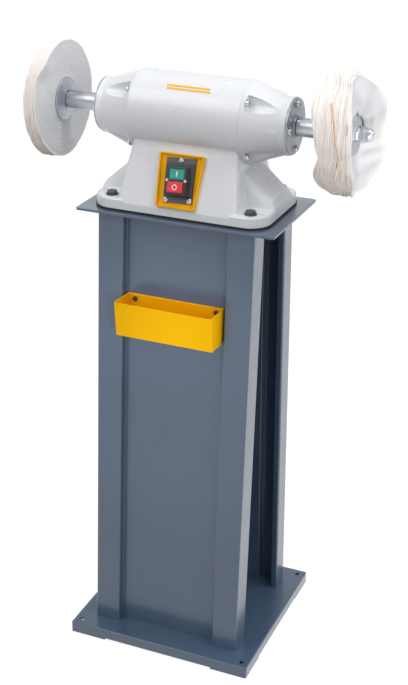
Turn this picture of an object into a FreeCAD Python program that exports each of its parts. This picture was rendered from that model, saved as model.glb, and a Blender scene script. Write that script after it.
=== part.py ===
import FreeCAD, Part
import os
import math
from FreeCAD import Vector, Placement, Rotation

# Double-ended polishing motor on a folded-sheet pedestal stand.
# Units are millimetres. X runs along the spindle, the operator stands at -Y,
# +Z is up, and the origin is on the floor under the middle of the base pan.

os.makedirs("parts", exist_ok=True)

# ---------------------------------------------------------------- dimensions
# base pan
PAN_X, PAN_Y, PAN_H, PAN_T = 353.0, 336.2, 22.0, 3.0
PAN_RELIEF = 3.4                 # middle of each skirt stands this far off the floor
PAN_FOOT_X, PAN_FOOT_Y = 70.0, 66.0
FLOOR_HOLE_X, FLOOR_HOLE_Y, FLOOR_HOLE_R = 324.0, 306.0, 4.5
# column
COL_TOP = 818.0                  # underside of the top plate
COL_HALF, COL_X = 141.0, -0.8    # half width over the side flanges, and their middle
COL_Y0, COL_Y1 = 130.8, 93.3     # half depth at the pan and at the top plate
STRIP = 47.4                     # width of each outer strip
RECESS = 15.0                    # how far the middle panel is set back
FL_FRONT, FL_REAR, LIP = 48.0, 40.0, 11.0
SHEET = 2.0
BEND_O, BEND_I = 3.2, 1.2
FOOT_BOLT_X = 60.0
# top plate and pad
TOP_X, TOP_Y, TOP_T, TOP_R = 356.2, 214.6, 4.0, 5.0
TOP_CX, TOP_CY = -1.9, 4.3
PAD_T = 3.6
# machine
MX, MY = -2.5, 6.0               # the machine's own centre, from the stand's
AX_Z = 976.0                     # spindle height
FL_HX, FL_HY, FL_T, FL_R = 156.5, 95.5, 17.0, 38.0
FL_CX = -1.0                     # the flange is cast slightly off centre
BOLT_X, BOLT_Y = 124.8, 74.0     # machine bolts, from the machine's own centre
BARREL_R, BARREL_HX, BORE_R = 70.0, 96.0, 59.0
FACE_Y, FACE_Z, FACE_TAN = 75.5, 890.0, 0.383   # sloping front and rear faces
ROOT_R = 16.0                    # cast radius between the faces and the barrel
SIDE_W, SIDE_TAN = 99.6, 0.13
WEB_HALF, WEB_Z100, WEB_TAN, WEB_R = 46.0, 901.0, 0.88, 12.5
BELL_END = 167.9
BELL_SCREW_R, BELL_SCREW_PAD = 65.5, 103.0
BELL_SCREW_ANGLES = (40, 140, 226, 314)
BELL_POCKET_R = 14.0
COVER_R, COVER_FACE, HUB_R, HUB_END = 46.4, 171.4, 18.0, 174.8
COVER_SCREW_R = 37.0
BRG_R, BRG_ID, BRG_W, BRG_X0 = 23.5, 10.0, 14.0, 147.0
SLEEVE_R = 15.5
INNER_FLANGE_R, OUTER_FLANGE_R = 37.0, 35.0
WHEEL_R, WHEEL_IN, WHEEL_OUT = 100.0, 249.0, 271.0
NUT_IN, NUT_OUT, NUT_AF = 275.0, 303.0, 24.0
SPINDLE_R = 10.0
# switch, in the sloping face's own frame: x across, v up the face, w outwards
BZ_TOP, BZ_BOT, BZ_V0, BZ_V1, BZ_H = 39.8, 34.6, -53.2, 36.8, 7.0
SW_X = 1.0                       # the switch sits this far right of the machine's centre
SW_TURN = 2.5                    # and is turned by this many degrees in its bezel
# tray
TRAY_HX, TRAY_Z, TRAY_H, TRAY_D0, TRAY_D1, TRAY_T = 88.6, 614.3, 62.6, 48.0, 58.0, 1.5
TRAY_X = -1.6

PAD_TOP = COL_TOP + TOP_T + PAD_T          # underside of the casting
FLANGE_TOP = PAD_TOP + FL_T                # seat of the machine bolts


# ------------------------------------------------------------------- helpers
def export(name, shape):
    if isinstance(shape, list):
        shape = Part.makeCompound(shape)
    solids = shape.Solids
    vol = sum(s.Volume for s in solids)
    ok = shape.isValid()
    print("%-26s solids %2d  volume %11.1f mm3  valid %s" % (name, len(solids), vol, ok))
    shape.exportStep("parts/%s.step" % name)


def box(x0, x1, y0, y1, z0, z1):
    return Part.makeBox(x1 - x0, y1 - y0, z1 - z0, Vector(x0, y0, z0))


def cyl(r, p, d, length):
    return Part.makeCylinder(r, length, Vector(*p), Vector(*d))


def rounded_face(pts, radii, z=0.0):
    """Closed polygon in XY with a radius at each corner, as a face."""
    n = len(pts)
    if not isinstance(radii, (list, tuple)):
        radii = [radii] * n
    segs = []
    tang = []
    for i in range(n):
        p = Vector(pts[i][0], pts[i][1], z)
        a = Vector(pts[i - 1][0], pts[i - 1][1], z)
        b = Vector(pts[(i + 1) % n][0], pts[(i + 1) % n][1], z)
        r = radii[i]
        u = (a - p)
        u.normalize()
        w = (b - p)
        w.normalize()
        if r <= 1e-6:
            tang.append((p, p, None))
            continue
        ang = u.getAngle(w)
        t = r / math.tan(ang / 2.0)
        s = p + u * t
        e = p + w * t
        bis = (u + w)
        bis.normalize()
        c = p + bis * (r / math.sin(ang / 2.0))
        m = c - bis * r
        tang.append((s, e, m))
    for i in range(n):
        s, e, m = tang[i]
        if m is not None:
            segs.append(Part.Arc(s, m, e).toShape())
        nx = tang[(i + 1) % n][0]
        if (nx - e).Length > 1e-6:
            segs.append(Part.LineSegment(e, nx).toShape())
    return Part.Face(Part.Wire(segs))


def rrect(hx, hy, r, z, h, cx=0.0, cy=0.0):
    f = rounded_face([(cx - hx, cy - hy), (cx + hx, cy - hy), (cx + hx, cy + hy), (cx - hx, cy + hy)], r, z)
    return f.extrude(Vector(0, 0, h))


def lathe(profile, radii=0.0):
    """Revolve a closed (x, r) profile about the spindle axis (machine frame, y = 0)."""
    f = rounded_face(profile, radii)
    f = f.copy()
    f.rotate(Vector(0, 0, 0), Vector(1, 0, 0), 90)      # (x, r) now lies in XZ
    f.translate(Vector(0, 0, AX_Z))
    return f.revolve(Vector(0, 0, AX_Z), Vector(1, 0, 0), 360)


def mirror_x(s):
    return s.mirror(Vector(0, 0, 0), Vector(1, 0, 0))


def at_machine(s):
    s = s.copy()
    s.translate(Vector(MX, MY, 0))
    return s


def left_of(s):
    """The same piece at the machine's left end."""
    return at_machine(mirror_x(s))


def both(s):
    return [s, mirror_x(s)]


def hexagon(af, h, x, direction=1):
    """Hexagonal prism along X starting at x (machine frame, on the spindle axis)."""
    r = af / math.sqrt(3.0)
    pts = [Vector(0, r * math.cos(math.radians(60 * i + 30)), r * math.sin(math.radians(60 * i + 30))) for i in range(6)]
    pts.append(pts[0])
    f = Part.Face(Part.makePolygon(pts))
    s = f.extrude(Vector(h * direction, 0, 0))
    s.translate(Vector(x, 0, AX_Z))
    return s


def hex_z(af, h, x, y, z):
    r = af / math.sqrt(3.0)
    pts = [Vector(x + r * math.cos(math.radians(60 * i)), y + r * math.sin(math.radians(60 * i)), z) for i in range(6)]
    pts.append(pts[0])
    return Part.Face(Part.makePolygon(pts)).extrude(Vector(0, 0, h))


def chamfered_hex_z(af, h, x, y, z, top=True, bottom=False):
    """Hex head or nut with the usual turned corners."""
    s = hex_z(af, h, x, y, z)
    rc = af / 2.0 * 0.985
    rb = af / math.sqrt(3.0) + 0.5
    k = math.tan(math.radians(30))
    if top:
        hh = (rb - rc) * k
        tool = Part.makeCylinder(rb, h - hh, Vector(x, y, z))
        tool = tool.fuse(Part.makeCone(rb, rc, hh, Vector(x, y, z + h - hh)))
        s = s.common(tool)
    if bottom:
        hh = (rb - rc) * k
        tool = Part.makeCylinder(rb, h - hh, Vector(x, y, z + hh))
        tool = tool.fuse(Part.makeCone(rc, rb, hh, Vector(x, y, z)))
        s = s.common(tool)
    return s


def edges_where(shape, test):
    out = []
    for e in shape.Edges:
        try:
            if test(e):
                out.append(e)
        except Exception:
            pass
    return out


def try_fillet(shape, r, edges, label=""):
    if not edges:
        print("no edges for fillet", label)
        return shape
    try:
        f = shape.makeFillet(r, edges)
        if f.isValid() and f.Volume > 0.5 * shape.Volume and len(f.Solids) == len(shape.Solids):
            return f
    except Exception:
        pass
    print("fillet skipped", label)
    return shape


# --------------------------------------------------------------------- stand
def base_pan():
    hx, hy = PAN_X / 2, PAN_Y / 2
    outer = rrect(hx, hy, 3.0, 0, PAN_H)
    outer = try_fillet(outer, 2.6, edges_where(outer, lambda e: e.BoundBox.ZMin > PAN_H - 0.1), "pan top")
    inner = rrect(hx - PAN_T, hy - PAN_T, 0.8, -1, PAN_H - PAN_T + 1)
    s = outer.cut(inner)
    s = s.cut(box(-hx + PAN_FOOT_X, hx - PAN_FOOT_X, -hy - 5, hy + 5, -1, PAN_RELIEF))
    s = s.cut(box(-hx - 5, hx + 5, -hy + PAN_FOOT_Y, hy - PAN_FOOT_Y, -1, PAN_RELIEF))
    for sx in (-1, 1):
        for sy in (-1, 1):
            s = s.cut(cyl(FLOOR_HOLE_R, (sx * FLOOR_HOLE_X / 2, sy * FLOOR_HOLE_Y / 2, 0), (0, 0, 1), 40))
            s = s.cut(cyl(4.5, (COL_X + sx * FOOT_BOLT_X, sy * FOOT_BOLT_Y, 0), (0, 0, 1), 40))
    return s


FOOT_BOLT_Y = COL_Y0 - RECESS - 15.0


def column_panel(sign, flange):
    """Folded panel; sign -1 is the front, +1 the rear."""
    h, st, rc, t, lip = COL_HALF, STRIP, RECESS, SHEET, LIP
    xi = h - st
    outer = [(-h + lip, flange), (-h, flange), (-h, 0), (-xi, 0), (-xi, rc), (xi, rc), (xi, 0), (h, 0), (h, flange), (h - lip, flange)]
    ro = [0, BEND_O, BEND_O, BEND_O, BEND_I, BEND_I, BEND_O, BEND_O, BEND_O, 0]
    inner = [(h - lip, flange - t), (h - t, flange - t), (h - t, t), (xi + t, t), (xi + t, rc + t),
             (-xi - t, rc + t), (-xi - t, t), (-h + t, t), (-h + t, flange - t), (-h + lip, flange - t)]
    ri = [0, BEND_I, BEND_I, BEND_I, BEND_O, BEND_O, BEND_I, BEND_I, BEND_I, 0]
    f = rounded_face(outer + inner, ro + ri)
    rise = COL_TOP - PAN_H
    s = f.extrude(Vector(0, COL_Y0 - COL_Y1, rise))
    # folded foot and head of the middle panel
    foot = box(-84, 84, rc + 0.4, rc + 27, 0, t)
    for sx in (-1, 1):
        foot = foot.cut(cyl(4.5, (sx * FOOT_BOLT_X, rc + 15, -1), (0, 0, 1), 5))
    yt = COL_Y0 - COL_Y1 + rc
    head = box(-84, 84, yt + 0.2, yt + 25, rise - t, rise)
    s = s.fuse(foot).fuse(head).removeSplitter()
    # holes for the tray screws
    if sign < 0:
        for sx in (-1, 1):
            zz = TRAY_Z + TRAY_SCREW_V * math.cos(TRAY_TILT) - PAN_H
            yy = rc + zz * (COL_Y0 - COL_Y1) / rise
            c = cyl(2.75, (TRAY_X - COL_X + sx * TRAY_SCREW_X, yy - 6, zz + 6 * math.tan(TRAY_TILT)),
                    (0, math.cos(TRAY_TILT), -math.sin(TRAY_TILT)), 14)
            s = s.cut(c)
    s.translate(Vector(COL_X, -COL_Y0, PAN_H))
    if sign > 0:
        s = s.mirror(Vector(0, 0, 0), Vector(0, 1, 0))
    return s


TRAY_TILT = math.atan((COL_Y0 - COL_Y1) / (COL_TOP - PAN_H))
TRAY_SCREW_X, TRAY_SCREW_V = 75.0, 53.5
TRAY_Y = -COL_Y0 + RECESS + (TRAY_Z - PAN_H) * math.tan(TRAY_TILT)


def tray_place(s):
    """Tray frame: x across, y up the panel, z out of the panel."""
    s = s.copy()
    s.Placement = Placement(Vector(TRAY_X, TRAY_Y, TRAY_Z), Rotation(Vector(1, 0, 0), 90 - math.degrees(TRAY_TILT)))
    return s


def tool_tray():
    t, hx = TRAY_T, TRAY_HX

    def prism(pts, x0, x1):
        p = [Vector(x0, v, w) for v, w in pts]
        p.append(p[0])
        return Part.Face(Part.makePolygon(p)).extrude(Vector(x1 - x0, 0, 0))

    # side outline (v, w): back bottom, front bottom, front top, back top
    lean = (TRAY_D1 - TRAY_D0) / TRAY_H
    s = prism([(0, 0), (0, TRAY_D0), (TRAY_H, TRAY_D1), (TRAY_H, 0)], -hx, hx)
    s = try_fillet(s, 1.6, edges_where(s, lambda e: e.Length > 2 * hx - 1 and e.BoundBox.YMax < 1.0), "tray floor")
    s = try_fillet(s, 1.6, edges_where(s, lambda e: 60 < e.Length < 66 and e.BoundBox.ZMin > 30), "tray front")
    k = t * math.sqrt(1 + lean * lean)
    inner = prism([(t, t), (t, TRAY_D0 + lean * t - k), (TRAY_H + 5, TRAY_D1 + lean * 5 - k), (TRAY_H + 5, t)], -hx + t, hx - t)
    s = s.cut(inner)
    for sx in (-1, 1):
        s = s.cut(cyl(2.75, (sx * TRAY_SCREW_X, TRAY_SCREW_V, -2), (0, 0, 1), 6))
    return tray_place(s)


def tray_screws():
    screws, nuts = [], []
    for sx in (-1, 1):
        x, v = sx * TRAY_SCREW_X, TRAY_SCREW_V
        sh = cyl(2.5, (x, v, -8.5), (0, 0, 1), 10.0)
        hd = cyl(4.6, (x, v, TRAY_T), (0, 0, 1), 2.9)
        hd = try_fillet(hd, 1.4, edges_where(hd, lambda e: e.BoundBox.ZMin > TRAY_T + 2.8 and e.Length > 20), "tray head")
        rec = Part.Face(Part.makePolygon([Vector(x + 1.5 * math.cos(math.radians(60 * i)), v + 1.5 * math.sin(math.radians(60 * i)), TRAY_T + 1.3) for i in range(7)])).extrude(Vector(0, 0, 4))
        screws.append(tray_place(sh.fuse(hd).cut(rec)))
        n = hex_z(8.0, 4.0, x, v, -SHEET - 4.0 - 0.05).cut(cyl(2.5, (x, v, -10), (0, 0, 1), 20))
        nuts.append(tray_place(n))
    return screws, nuts


def foot_fasteners():
    """Flanged bolts through the foot of each panel, nuts under the pan."""
    bolts, nuts = [], []
    for sx in (-1, 1):
        for sy in (-1, 1):
            x, y = COL_X + sx * FOOT_BOLT_X, sy * FOOT_BOLT_Y
            z = PAN_H + SHEET
            hd = chamfered_hex_z(13.0, 6.6, x, y, z)
            skirt = Part.makeCone(8.6, 6.9, 1.8, Vector(x, y, z))
            bolts.append(hd.fuse(skirt).fuse(cyl(4.0, (x, y, 7.0), (0, 0, 1), z - 6.9)))
            zz = PAN_H - PAN_T
            nuts.append(chamfered_hex_z(13.0, 6.5, x, y, zz - 6.5, False, True).cut(cyl(4.0, (x, y, 0), (0, 0, 1), 40)))
    return bolts, nuts


def top_plate():
    s = rrect(TOP_X / 2, TOP_Y / 2, TOP_R, COL_TOP, TOP_T, TOP_CX, TOP_CY)
    s = try_fillet(s, 0.8, edges_where(s, lambda e: e.BoundBox.ZMin > COL_TOP + TOP_T - 0.1), "top plate rim")
    for sx in (-1, 1):
        for sy in (-1, 1):
            s = s.cut(cyl(5.5, (MX + sx * BOLT_X, MY + sy * BOLT_Y, COL_TOP - 5), (0, 0, 1), 20))
    return s


def rubber_pad():
    s = rrect(FL_HX + 1.4, FL_HY + 1.4, FL_R + 1.4, COL_TOP + TOP_T, PAD_T, MX + FL_CX, MY)
    for sx in (-1, 1):
        for sy in (-1, 1):
            s = s.cut(cyl(6.0, (MX + sx * BOLT_X, MY + sy * BOLT_Y, COL_TOP), (0, 0, 1), 20))
    return s


def machine_fasteners():
    bolts, upper, lower, nuts = [], [], [], []
    for sx in (-1, 1):
        for sy in (-1, 1):
            x, y = MX + sx * BOLT_X, MY + sy * BOLT_Y
            upper.append(cyl(10.6, (x, y, FLANGE_TOP), (0, 0, 1), 1.6).cut(cyl(5.3, (x, y, FLANGE_TOP - 1), (0, 0, 1), 5)))
            hd = chamfered_hex_z(16.0, 4.8, x, y, FLANGE_TOP + 1.6)
            bolts.append(hd.fuse(cyl(5.0, (x, y, 804.0), (0, 0, 1), FLANGE_TOP + 1.6 - 804.0)))
            lower.append(cyl(10.0, (x, y, COL_TOP - 1.8), (0, 0, 1), 1.8).cut(cyl(5.3, (x, y, COL_TOP - 5), (0, 0, 1), 10)))
            nuts.append(chamfered_hex_z(17.0, 8.4, x, y, COL_TOP - 1.8 - 8.4, False, True).cut(cyl(5.0, (x, y, 790), (0, 0, 1), 40)))
    return bolts, upper, lower, nuts


# ------------------------------------------------------------ motor castings
def face_y(z):
    return FACE_Y + (FACE_Z - z) * FACE_TAN


def side_x(z):
    return SIDE_W + (FACE_Z - z) * SIDE_TAN


def frustum(z0, hx0, hy0, z1, hx1, hy1):
    """Four-sided tapered block with flat faces."""
    s = Part.makeWedge(-hx0, 0, -hy0, -hy1, -hx1, hx0, z1 - z0, hy0, hy1, hx1)
    s.rotate(Vector(0, 0, 0), Vector(1, 0, 0), 90)
    s.translate(Vector(0, 0, z0))
    return s


SW_ANG = math.degrees(math.atan2(1.0, FACE_TAN))


def switch_place(s, turned=True):
    """Switch frame: x across, y up the sloping front face, z outwards."""
    s = s.copy()
    if turned:
        s.rotate(Vector(0, 26.2, 0), Vector(0, 0, 1), SW_TURN)
    frame = Placement(Vector(MX + SW_X, MY - FACE_Y, FACE_Z), Rotation(Vector(1, 0, 0), SW_ANG))
    s.Placement = frame.multiply(s.Placement)
    return s


PLATE_SCREWS = [(0.0, 26.2), (-21.0, -39.0), (21.0, -39.0)]
GLAND_X, GLAND_Z, GLAND_FACE = 52.0, 866.0, 92.0


def pedestal():
    """Hollow foot under the barrel: sloping faces that sweep up into the barrel, tapered sides."""
    z0 = FLANGE_TOP - 12.0
    nrm = math.sqrt(1 + FACE_TAN ** 2)
    ny, nz = 1 / nrm, FACE_TAN / nrm
    # centre of the cast radius: ROOT_R outside the face and, less a little bite, outside the barrel
    lo, hi = 0.0, 60.0
    for _ in range(60):
        m = (lo + hi) / 2
        cy, cz = FACE_Y - FACE_TAN * m + ROOT_R * ny, FACE_Z + m + ROOT_R * nz
        if math.hypot(cy, cz - AX_Z) > BARREL_R + ROOT_R - 0.2:
            lo = m
        else:
            hi = m
    t2 = (cy - ROOT_R * ny, cz - ROOT_R * nz)
    a2 = math.atan2(-nz, -ny)
    a1 = math.atan2(AX_Z - cz, -cy)
    am = (a1 + a2) / 2 if abs(a1 - a2) < math.pi else (a1 + a2) / 2 + math.pi
    t1 = (cy + ROOT_R * math.cos(a1), cz + ROOT_R * math.sin(a1))
    mid = (cy + ROOT_R * math.cos(am), cz + ROOT_R * math.sin(am))
    segs = []
    for s in (1, -1):
        v = lambda p: Vector(0, s * p[0], p[1])
        part = [Part.LineSegment(v((0, z0)), v((face_y(z0), z0))).toShape(),
                Part.LineSegment(v((face_y(z0), z0)), v(t2)).toShape(),
                Part.Arc(v(t2), v(mid), v(t1)).toShape(),
                Part.LineSegment(v(t1), v((t1[0] - 12.0, t1[1] + 12.0))).toShape(),
                Part.LineSegment(v((t1[0] - 12.0, t1[1] + 12.0)), v((0, t1[1] + 12.0))).toShape()]
        segs += part if s > 0 else part[::-1]
    prof = Part.Face(Part.Wire(segs))
    prof.translate(Vector(-140, 0, 0))
    body = prof.extrude(Vector(280, 0, 0))
    sides = frustum(z0 - 1, side_x(z0 - 1), 160, 965.0, side_x(965.0), 160)
    body = body.common(sides)
    corners = edges_where(body, lambda e: e.BoundBox.ZLength > 8 and e.BoundBox.XLength > 0.5 and abs(e.BoundBox.YMax + e.BoundBox.YMin) > 60
                          and e.BoundBox.ZMax < t1[1] + 0.5)
    return try_fillet(body, 7.0, corners, "pedestal corners")


def motor_housing():
    barrel = lathe([(-BARREL_HX, 10), (BARREL_HX, 10), (BARREL_HX, BARREL_R), (-BARREL_HX, BARREL_R)], [0, 0, 0.8, 0])
    barrel = barrel.fuse(cyl(12, (-BARREL_HX, 0, AX_Z), (1, 0, 0), 2 * BARREL_HX))
    z0, z1 = FLANGE_TOP - 12.0, 955.0
    ped = pedestal()
    # the sloping faces run out into the upright front and rear of the flange
    ped = ped.common(box(-FL_HX, FL_HX, -FL_HY, FL_HY, z0 - 1, z1 + 1))
    flange = rrect(FL_HX, FL_HY, FL_R, PAD_TOP, FL_T, FL_CX)
    flange = try_fillet(flange, 2.6, edges_where(flange, lambda e: e.BoundBox.ZMin > FLANGE_TOP - 0.1), "flange rim")
    # side webs: a broad sloping rib from each side of the pedestal to the flange edge
    webs = []
    for s in (-1, 1):
        end = FL_HX + s * FL_CX - 0.6
        foot = end - 6.0
        prof = [(70, PAD_TOP + 4), (end, PAD_TOP + 4), (end, FLANGE_TOP + 3), (foot, WEB_Z100 - WEB_TAN * (foot - 100.0)),
                (90.0, WEB_Z100 + WEB_TAN * 10.0), (70, WEB_Z100 + WEB_TAN * 10.0)]
        p = [Vector(s * a, -WEB_HALF, b) for a, b in prof]
        p.append(p[0])
        w = Part.Face(Part.makePolygon(p)).extrude(Vector(0, 2 * WEB_HALF, 0))
        crest = edges_where(w, lambda e: e.BoundBox.ZMin > FLANGE_TOP - 2 and e.BoundBox.YLength < 1 and 15 < e.BoundBox.XLength)
        w = try_fillet(w, WEB_R, crest, "web crest")
        webs.append(w)
    for sy in (-1, 1):
        pts = [(-FL_HY - 1.5, 0), (-face_y(850.0), 850.0), (-FL_HY - 1.5, 850.0)]
        pts[0] = (-FL_HY - 1.5, FACE_Z - (FL_HY + 1.5 - FACE_Y) / FACE_TAN)
        q = [Vector(-96.0, -sy * a, b) for a, b in pts]
        flange = flange.cut(Part.Face(Part.makePolygon(q + [q[0]])).extrude(Vector(192.0, 0, 0)))
    body = barrel.fuse(ped).fuse(flange)
    for w in webs:
        body = body.fuse(w)
    # boss for the cable gland on the rear face
    body = body.fuse(cyl(17.0, (GLAND_X, 60, GLAND_Z), (0, 1, 0), GLAND_FACE - 60))
    # the upper part of the pedestal clears the end bells
    for s in (-1, 1):
        body = body.cut(cyl(BARREL_R + 1.8, (s * BARREL_HX, 0, AX_Z), (s, 0, 0), 30))
    body = body.removeSplitter()
    # blend the pedestal and webs into the flange, and the webs into the pedestal
    body = blend_casting(body)
    # stator bore
    body = body.cut(cyl(BORE_R, (-BARREL_HX - 1, 0, AX_Z), (1, 0, 0), 2 * BARREL_HX + 2))
    # electrical space inside the pedestal, open underneath
    zc = 898.0
    cav = frustum(PAD_TOP - 1, 89.0, 80.0, zc, side_x(zc) - 8.0, face_y(zc) - 8.5)
    bosses = []
    for sx in (-1, 1):
        for sy in (-1, 1):
            bosses.append(cyl(7.0, (sx * 82, sy * 70, PAD_TOP), (0, 0, 1), 34))
    for b in bosses:
        cav = cav.cut(b)
    body = body.cut(cav)
    body = body.cut(rrect(100.0, 88.0, 8.0, PAD_TOP - 1, 4.9))
    for sx in (-1, 1):
        for sy in (-1, 1):
            body = body.cut(cyl(2.1, (sx * 82, sy * 70, PAD_TOP - 1), (0, 0, 1), 22))
            body = body.cut(cyl(5.5, (sx * BOLT_X, sy * BOLT_Y, PAD_TOP - 1), (0, 0, 1), 40))
    # wiring passage between the barrel and the electrical space
    body = body.cut(cyl(11.0, (56, 0, 890), (0, 0, 1), 40))
    # tapped holes for the end bell screws
    for s in (-1, 1):
        for a in BELL_SCREW_ANGLES:
            y, z = BELL_SCREW_R * math.cos(math.radians(a)), AX_Z + BELL_SCREW_R * math.sin(math.radians(a))
            x0 = BARREL_HX - 22 if s > 0 else -BARREL_HX - 1
            body = body.cut(cyl(3.05, (x0, y, z), (1, 0, 0), 23))
    # gland bore
    body = body.cut(cyl(10.05, (GLAND_X, 40, GLAND_Z), (0, 1, 0), 80))
    body = at_machine(body)
    # opening behind the switch and its screw holes
    opening = rrect(23.0, 28.0, 3.0, -36, 51, 0, -8.0)
    body = body.cut(switch_place(opening))
    for x, v in PLATE_SCREWS:
        body = body.cut(switch_place(cyl(2.5, (x, v, -7.5), (0, 0, 1), 12)))
    return body


def blend_casting(body):
    """Cast radii where the pedestal and webs meet the flange and each other."""
    def root(e):
        b = e.BoundBox
        x0, x1 = sorted((abs(b.XMin), abs(b.XMax)))
        if e.Length < 4 or b.XMin * b.XMax < 0 and b.XLength < 100:
            return False
        foot = abs(b.ZMin - FLANGE_TOP) < 0.05 and abs(b.ZMax - FLANGE_TOP) < 0.05 and x1 < FL_HX - 4.2 \
            and max(abs(b.YMin), abs(b.YMax)) < FL_HY - 3.0
        web = b.ZMin > FLANGE_TOP - 0.1 and b.ZMax < 912 and x0 > 85 and x1 < 108 and max(abs(b.YMin), abs(b.YMax)) < WEB_HALF + 1.0 \
            and b.XMin * b.XMax > 0
        return foot or web
    picked = edges_where(body, root)
    out = body
    for r in (5.0, 4.0, 3.0):
        out = try_fillet(body, r, picked, "casting roots r=%g" % r)
        if out is not body:
            break

    return out


def end_bell(shoulder, rim):
    prof = [(91.0, 48.0), (91.0, 58.9), (BARREL_HX, 58.9), (BARREL_HX, BARREL_R), (98.6, BARREL_R), (157.5, 48.9),
            (BELL_END, 48.3), (BELL_END, BRG_R), (shoulder, BRG_R), (shoulder, 20.0), (139.0, 20.0), (139.0, 31.0),
            (158.5, 31.0), (158.5, 41.0), (128.0, 47.5)]
    rad = [0, 0.5, 0, rim, 5.0, 8.0, 2.0, 0, 0, 0, 0, 2.0, 3.0, 3.0, 6.0]
    s = lathe(prof, rad)
    for a in BELL_SCREW_ANGLES:
        ca, sa = math.cos(math.radians(a)), math.sin(math.radians(a))
        y, z = BELL_SCREW_R * ca, AX_Z + BELL_SCREW_R * sa
        pr = BELL_POCKET_R
        pocket = cyl(pr, (BELL_SCREW_PAD, y, z), (1, 0, 0), 80)
        # the pocket is open outwards
        wall = Part.makeBox(80, 2 * pr, 30, Vector(BELL_SCREW_PAD, -pr, 0))
        wall.rotate(Vector(0, 0, 0), Vector(1, 0, 0), a - 90)
        wall.translate(Vector(0, y, z))
        s = s.cut(pocket.fuse(wall))
        s = s.cut(cyl(3.3, (BARREL_HX - 2, y, z), (1, 0, 0), 20))
    for a in (0, 90, 180, 270):
        y, z = COVER_SCREW_R * math.cos(math.radians(a)), AX_Z + COVER_SCREW_R * math.sin(math.radians(a))
        s = s.cut(cyl(2.5, (150, y, z), (1, 0, 0), 30))
    return s


def pan_screw_x(x, y, z, r_shank, length, r_head, h_head, washer_r=0.0, washer_t=0.0):
    """Cross-recessed pan head screw along X, its head outwards (+X) from x."""
    out = []
    x0 = x
    if washer_r > 0:
        w = cyl(washer_r, (x, y, z), (1, 0, 0), washer_t).cut(cyl(r_shank + 0.15, (x - 1, y, z), (1, 0, 0), washer_t + 2))
        out.append(w)
        x0 = x + washer_t
    hd = cyl(r_head, (x0, y, z), (1, 0, 0), h_head)
    rim = edges_where(hd, lambda e: e.BoundBox.XMin > x0 + h_head - 0.1 and e.Length > r_head)
    hd = try_fillet(hd, h_head * 0.55, rim, "pan head")
    sh = cyl(r_shank, (x - length, y, z), (1, 0, 0), length + (x0 - x) + 0.01)
    s = hd.fuse(sh)
    d = r_head * 0.62
    for a, b in ((d, 0.55), (0.55, d)):
        s = s.cut(box(x0 + h_head * 0.5, x0 + h_head + 1, y - a, y + a, z - b, z + b))
    out.insert(0, s)
    return out


def bell_screws():
    screws, washers = [], []
    for a in BELL_SCREW_ANGLES:
        y, z = BELL_SCREW_R * math.cos(math.radians(a)), AX_Z + BELL_SCREW_R * math.sin(math.radians(a))
        s = pan_screw_x(BELL_SCREW_PAD, y, z, 3.0, 22.0, 5.0, 4.6, 6.4, 1.2)
        screws += both(s[0])
        washers += both(s[1])
    return screws, washers


def bearing_cover():
    prof = [(BRG_X0 + BRG_W + 0.1, 19.8), (BRG_X0 + BRG_W + 0.1, 23.3), (BELL_END, 23.3), (BELL_END, COVER_R), (COVER_FACE, COVER_R),
            (COVER_FACE, HUB_R), (HUB_END, HUB_R), (HUB_END, 13.2), (HUB_END - 5.9, 13.2), (HUB_END - 5.9, 19.8)]
    rad = [0, 0, 0, 0.3, 0.9, 1.0, 0.7, 0.3, 0, 0]
    s = lathe(prof, rad)
    for a in (0, 90, 180, 270):
        y, z = COVER_SCREW_R * math.cos(math.radians(a)), AX_Z + COVER_SCREW_R * math.sin(math.radians(a))
        s = s.cut(cyl(2.8, (150, y, z), (1, 0, 0), 30))
    return s


def cover_screws():
    screws = []
    for a in (0, 90, 180, 270):
        y, z = COVER_SCREW_R * math.cos(math.radians(a)), AX_Z + COVER_SCREW_R * math.sin(math.radians(a))
        screws += both(pan_screw_x(COVER_FACE, y, z, 2.45, 10.5, 5.3, 5.6)[0])
    return screws


# ------------------------------------------------------------------ bearings
BALL_R, BALL_PITCH, BALL_N = 3.95, 16.75, 8


def bearing():
    xc = BRG_X0 + BRG_W / 2
    x0, x1 = BRG_X0, BRG_X0 + BRG_W
    race = Part.makeTorus(BALL_PITCH, 4.2, Vector(xc, 0, AX_Z), Vector(1, 0, 0))
    outer = lathe([(x0, 19.6), (x1, 19.6), (x1, BRG_R), (x0, BRG_R)], [0.3, 0.3, 0.8, 0.8]).cut(race)
    inner = lathe([(x0, BRG_ID), (x1, BRG_ID), (x1, 13.9), (x0, 13.9)], [0.6, 0.6, 0.3, 0.3]).cut(race)
    balls = []
    cage = lathe([(xc - 5.6, 15.6), (xc + 5.6, 15.6), (xc + 5.6, 17.9), (xc - 5.6, 17.9)], 0.3)
    for i in range(BALL_N):
        a = 2 * math.pi * i / BALL_N
        c = Vector(xc, BALL_PITCH * math.cos(a), AX_Z + BALL_PITCH * math.sin(a))
        balls.append(Part.makeSphere(BALL_R, c))
        cage = cage.cut(Part.makeSphere(BALL_R + 0.2, c))
    return outer, inner, balls, cage


def wave_spring():
    """Preload washer between the left bearing and its shoulder."""
    return lathe([(145.1, 20.4), (146.9, 20.4), (146.9, 22.9), (145.1, 22.9)], 0.2)


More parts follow.
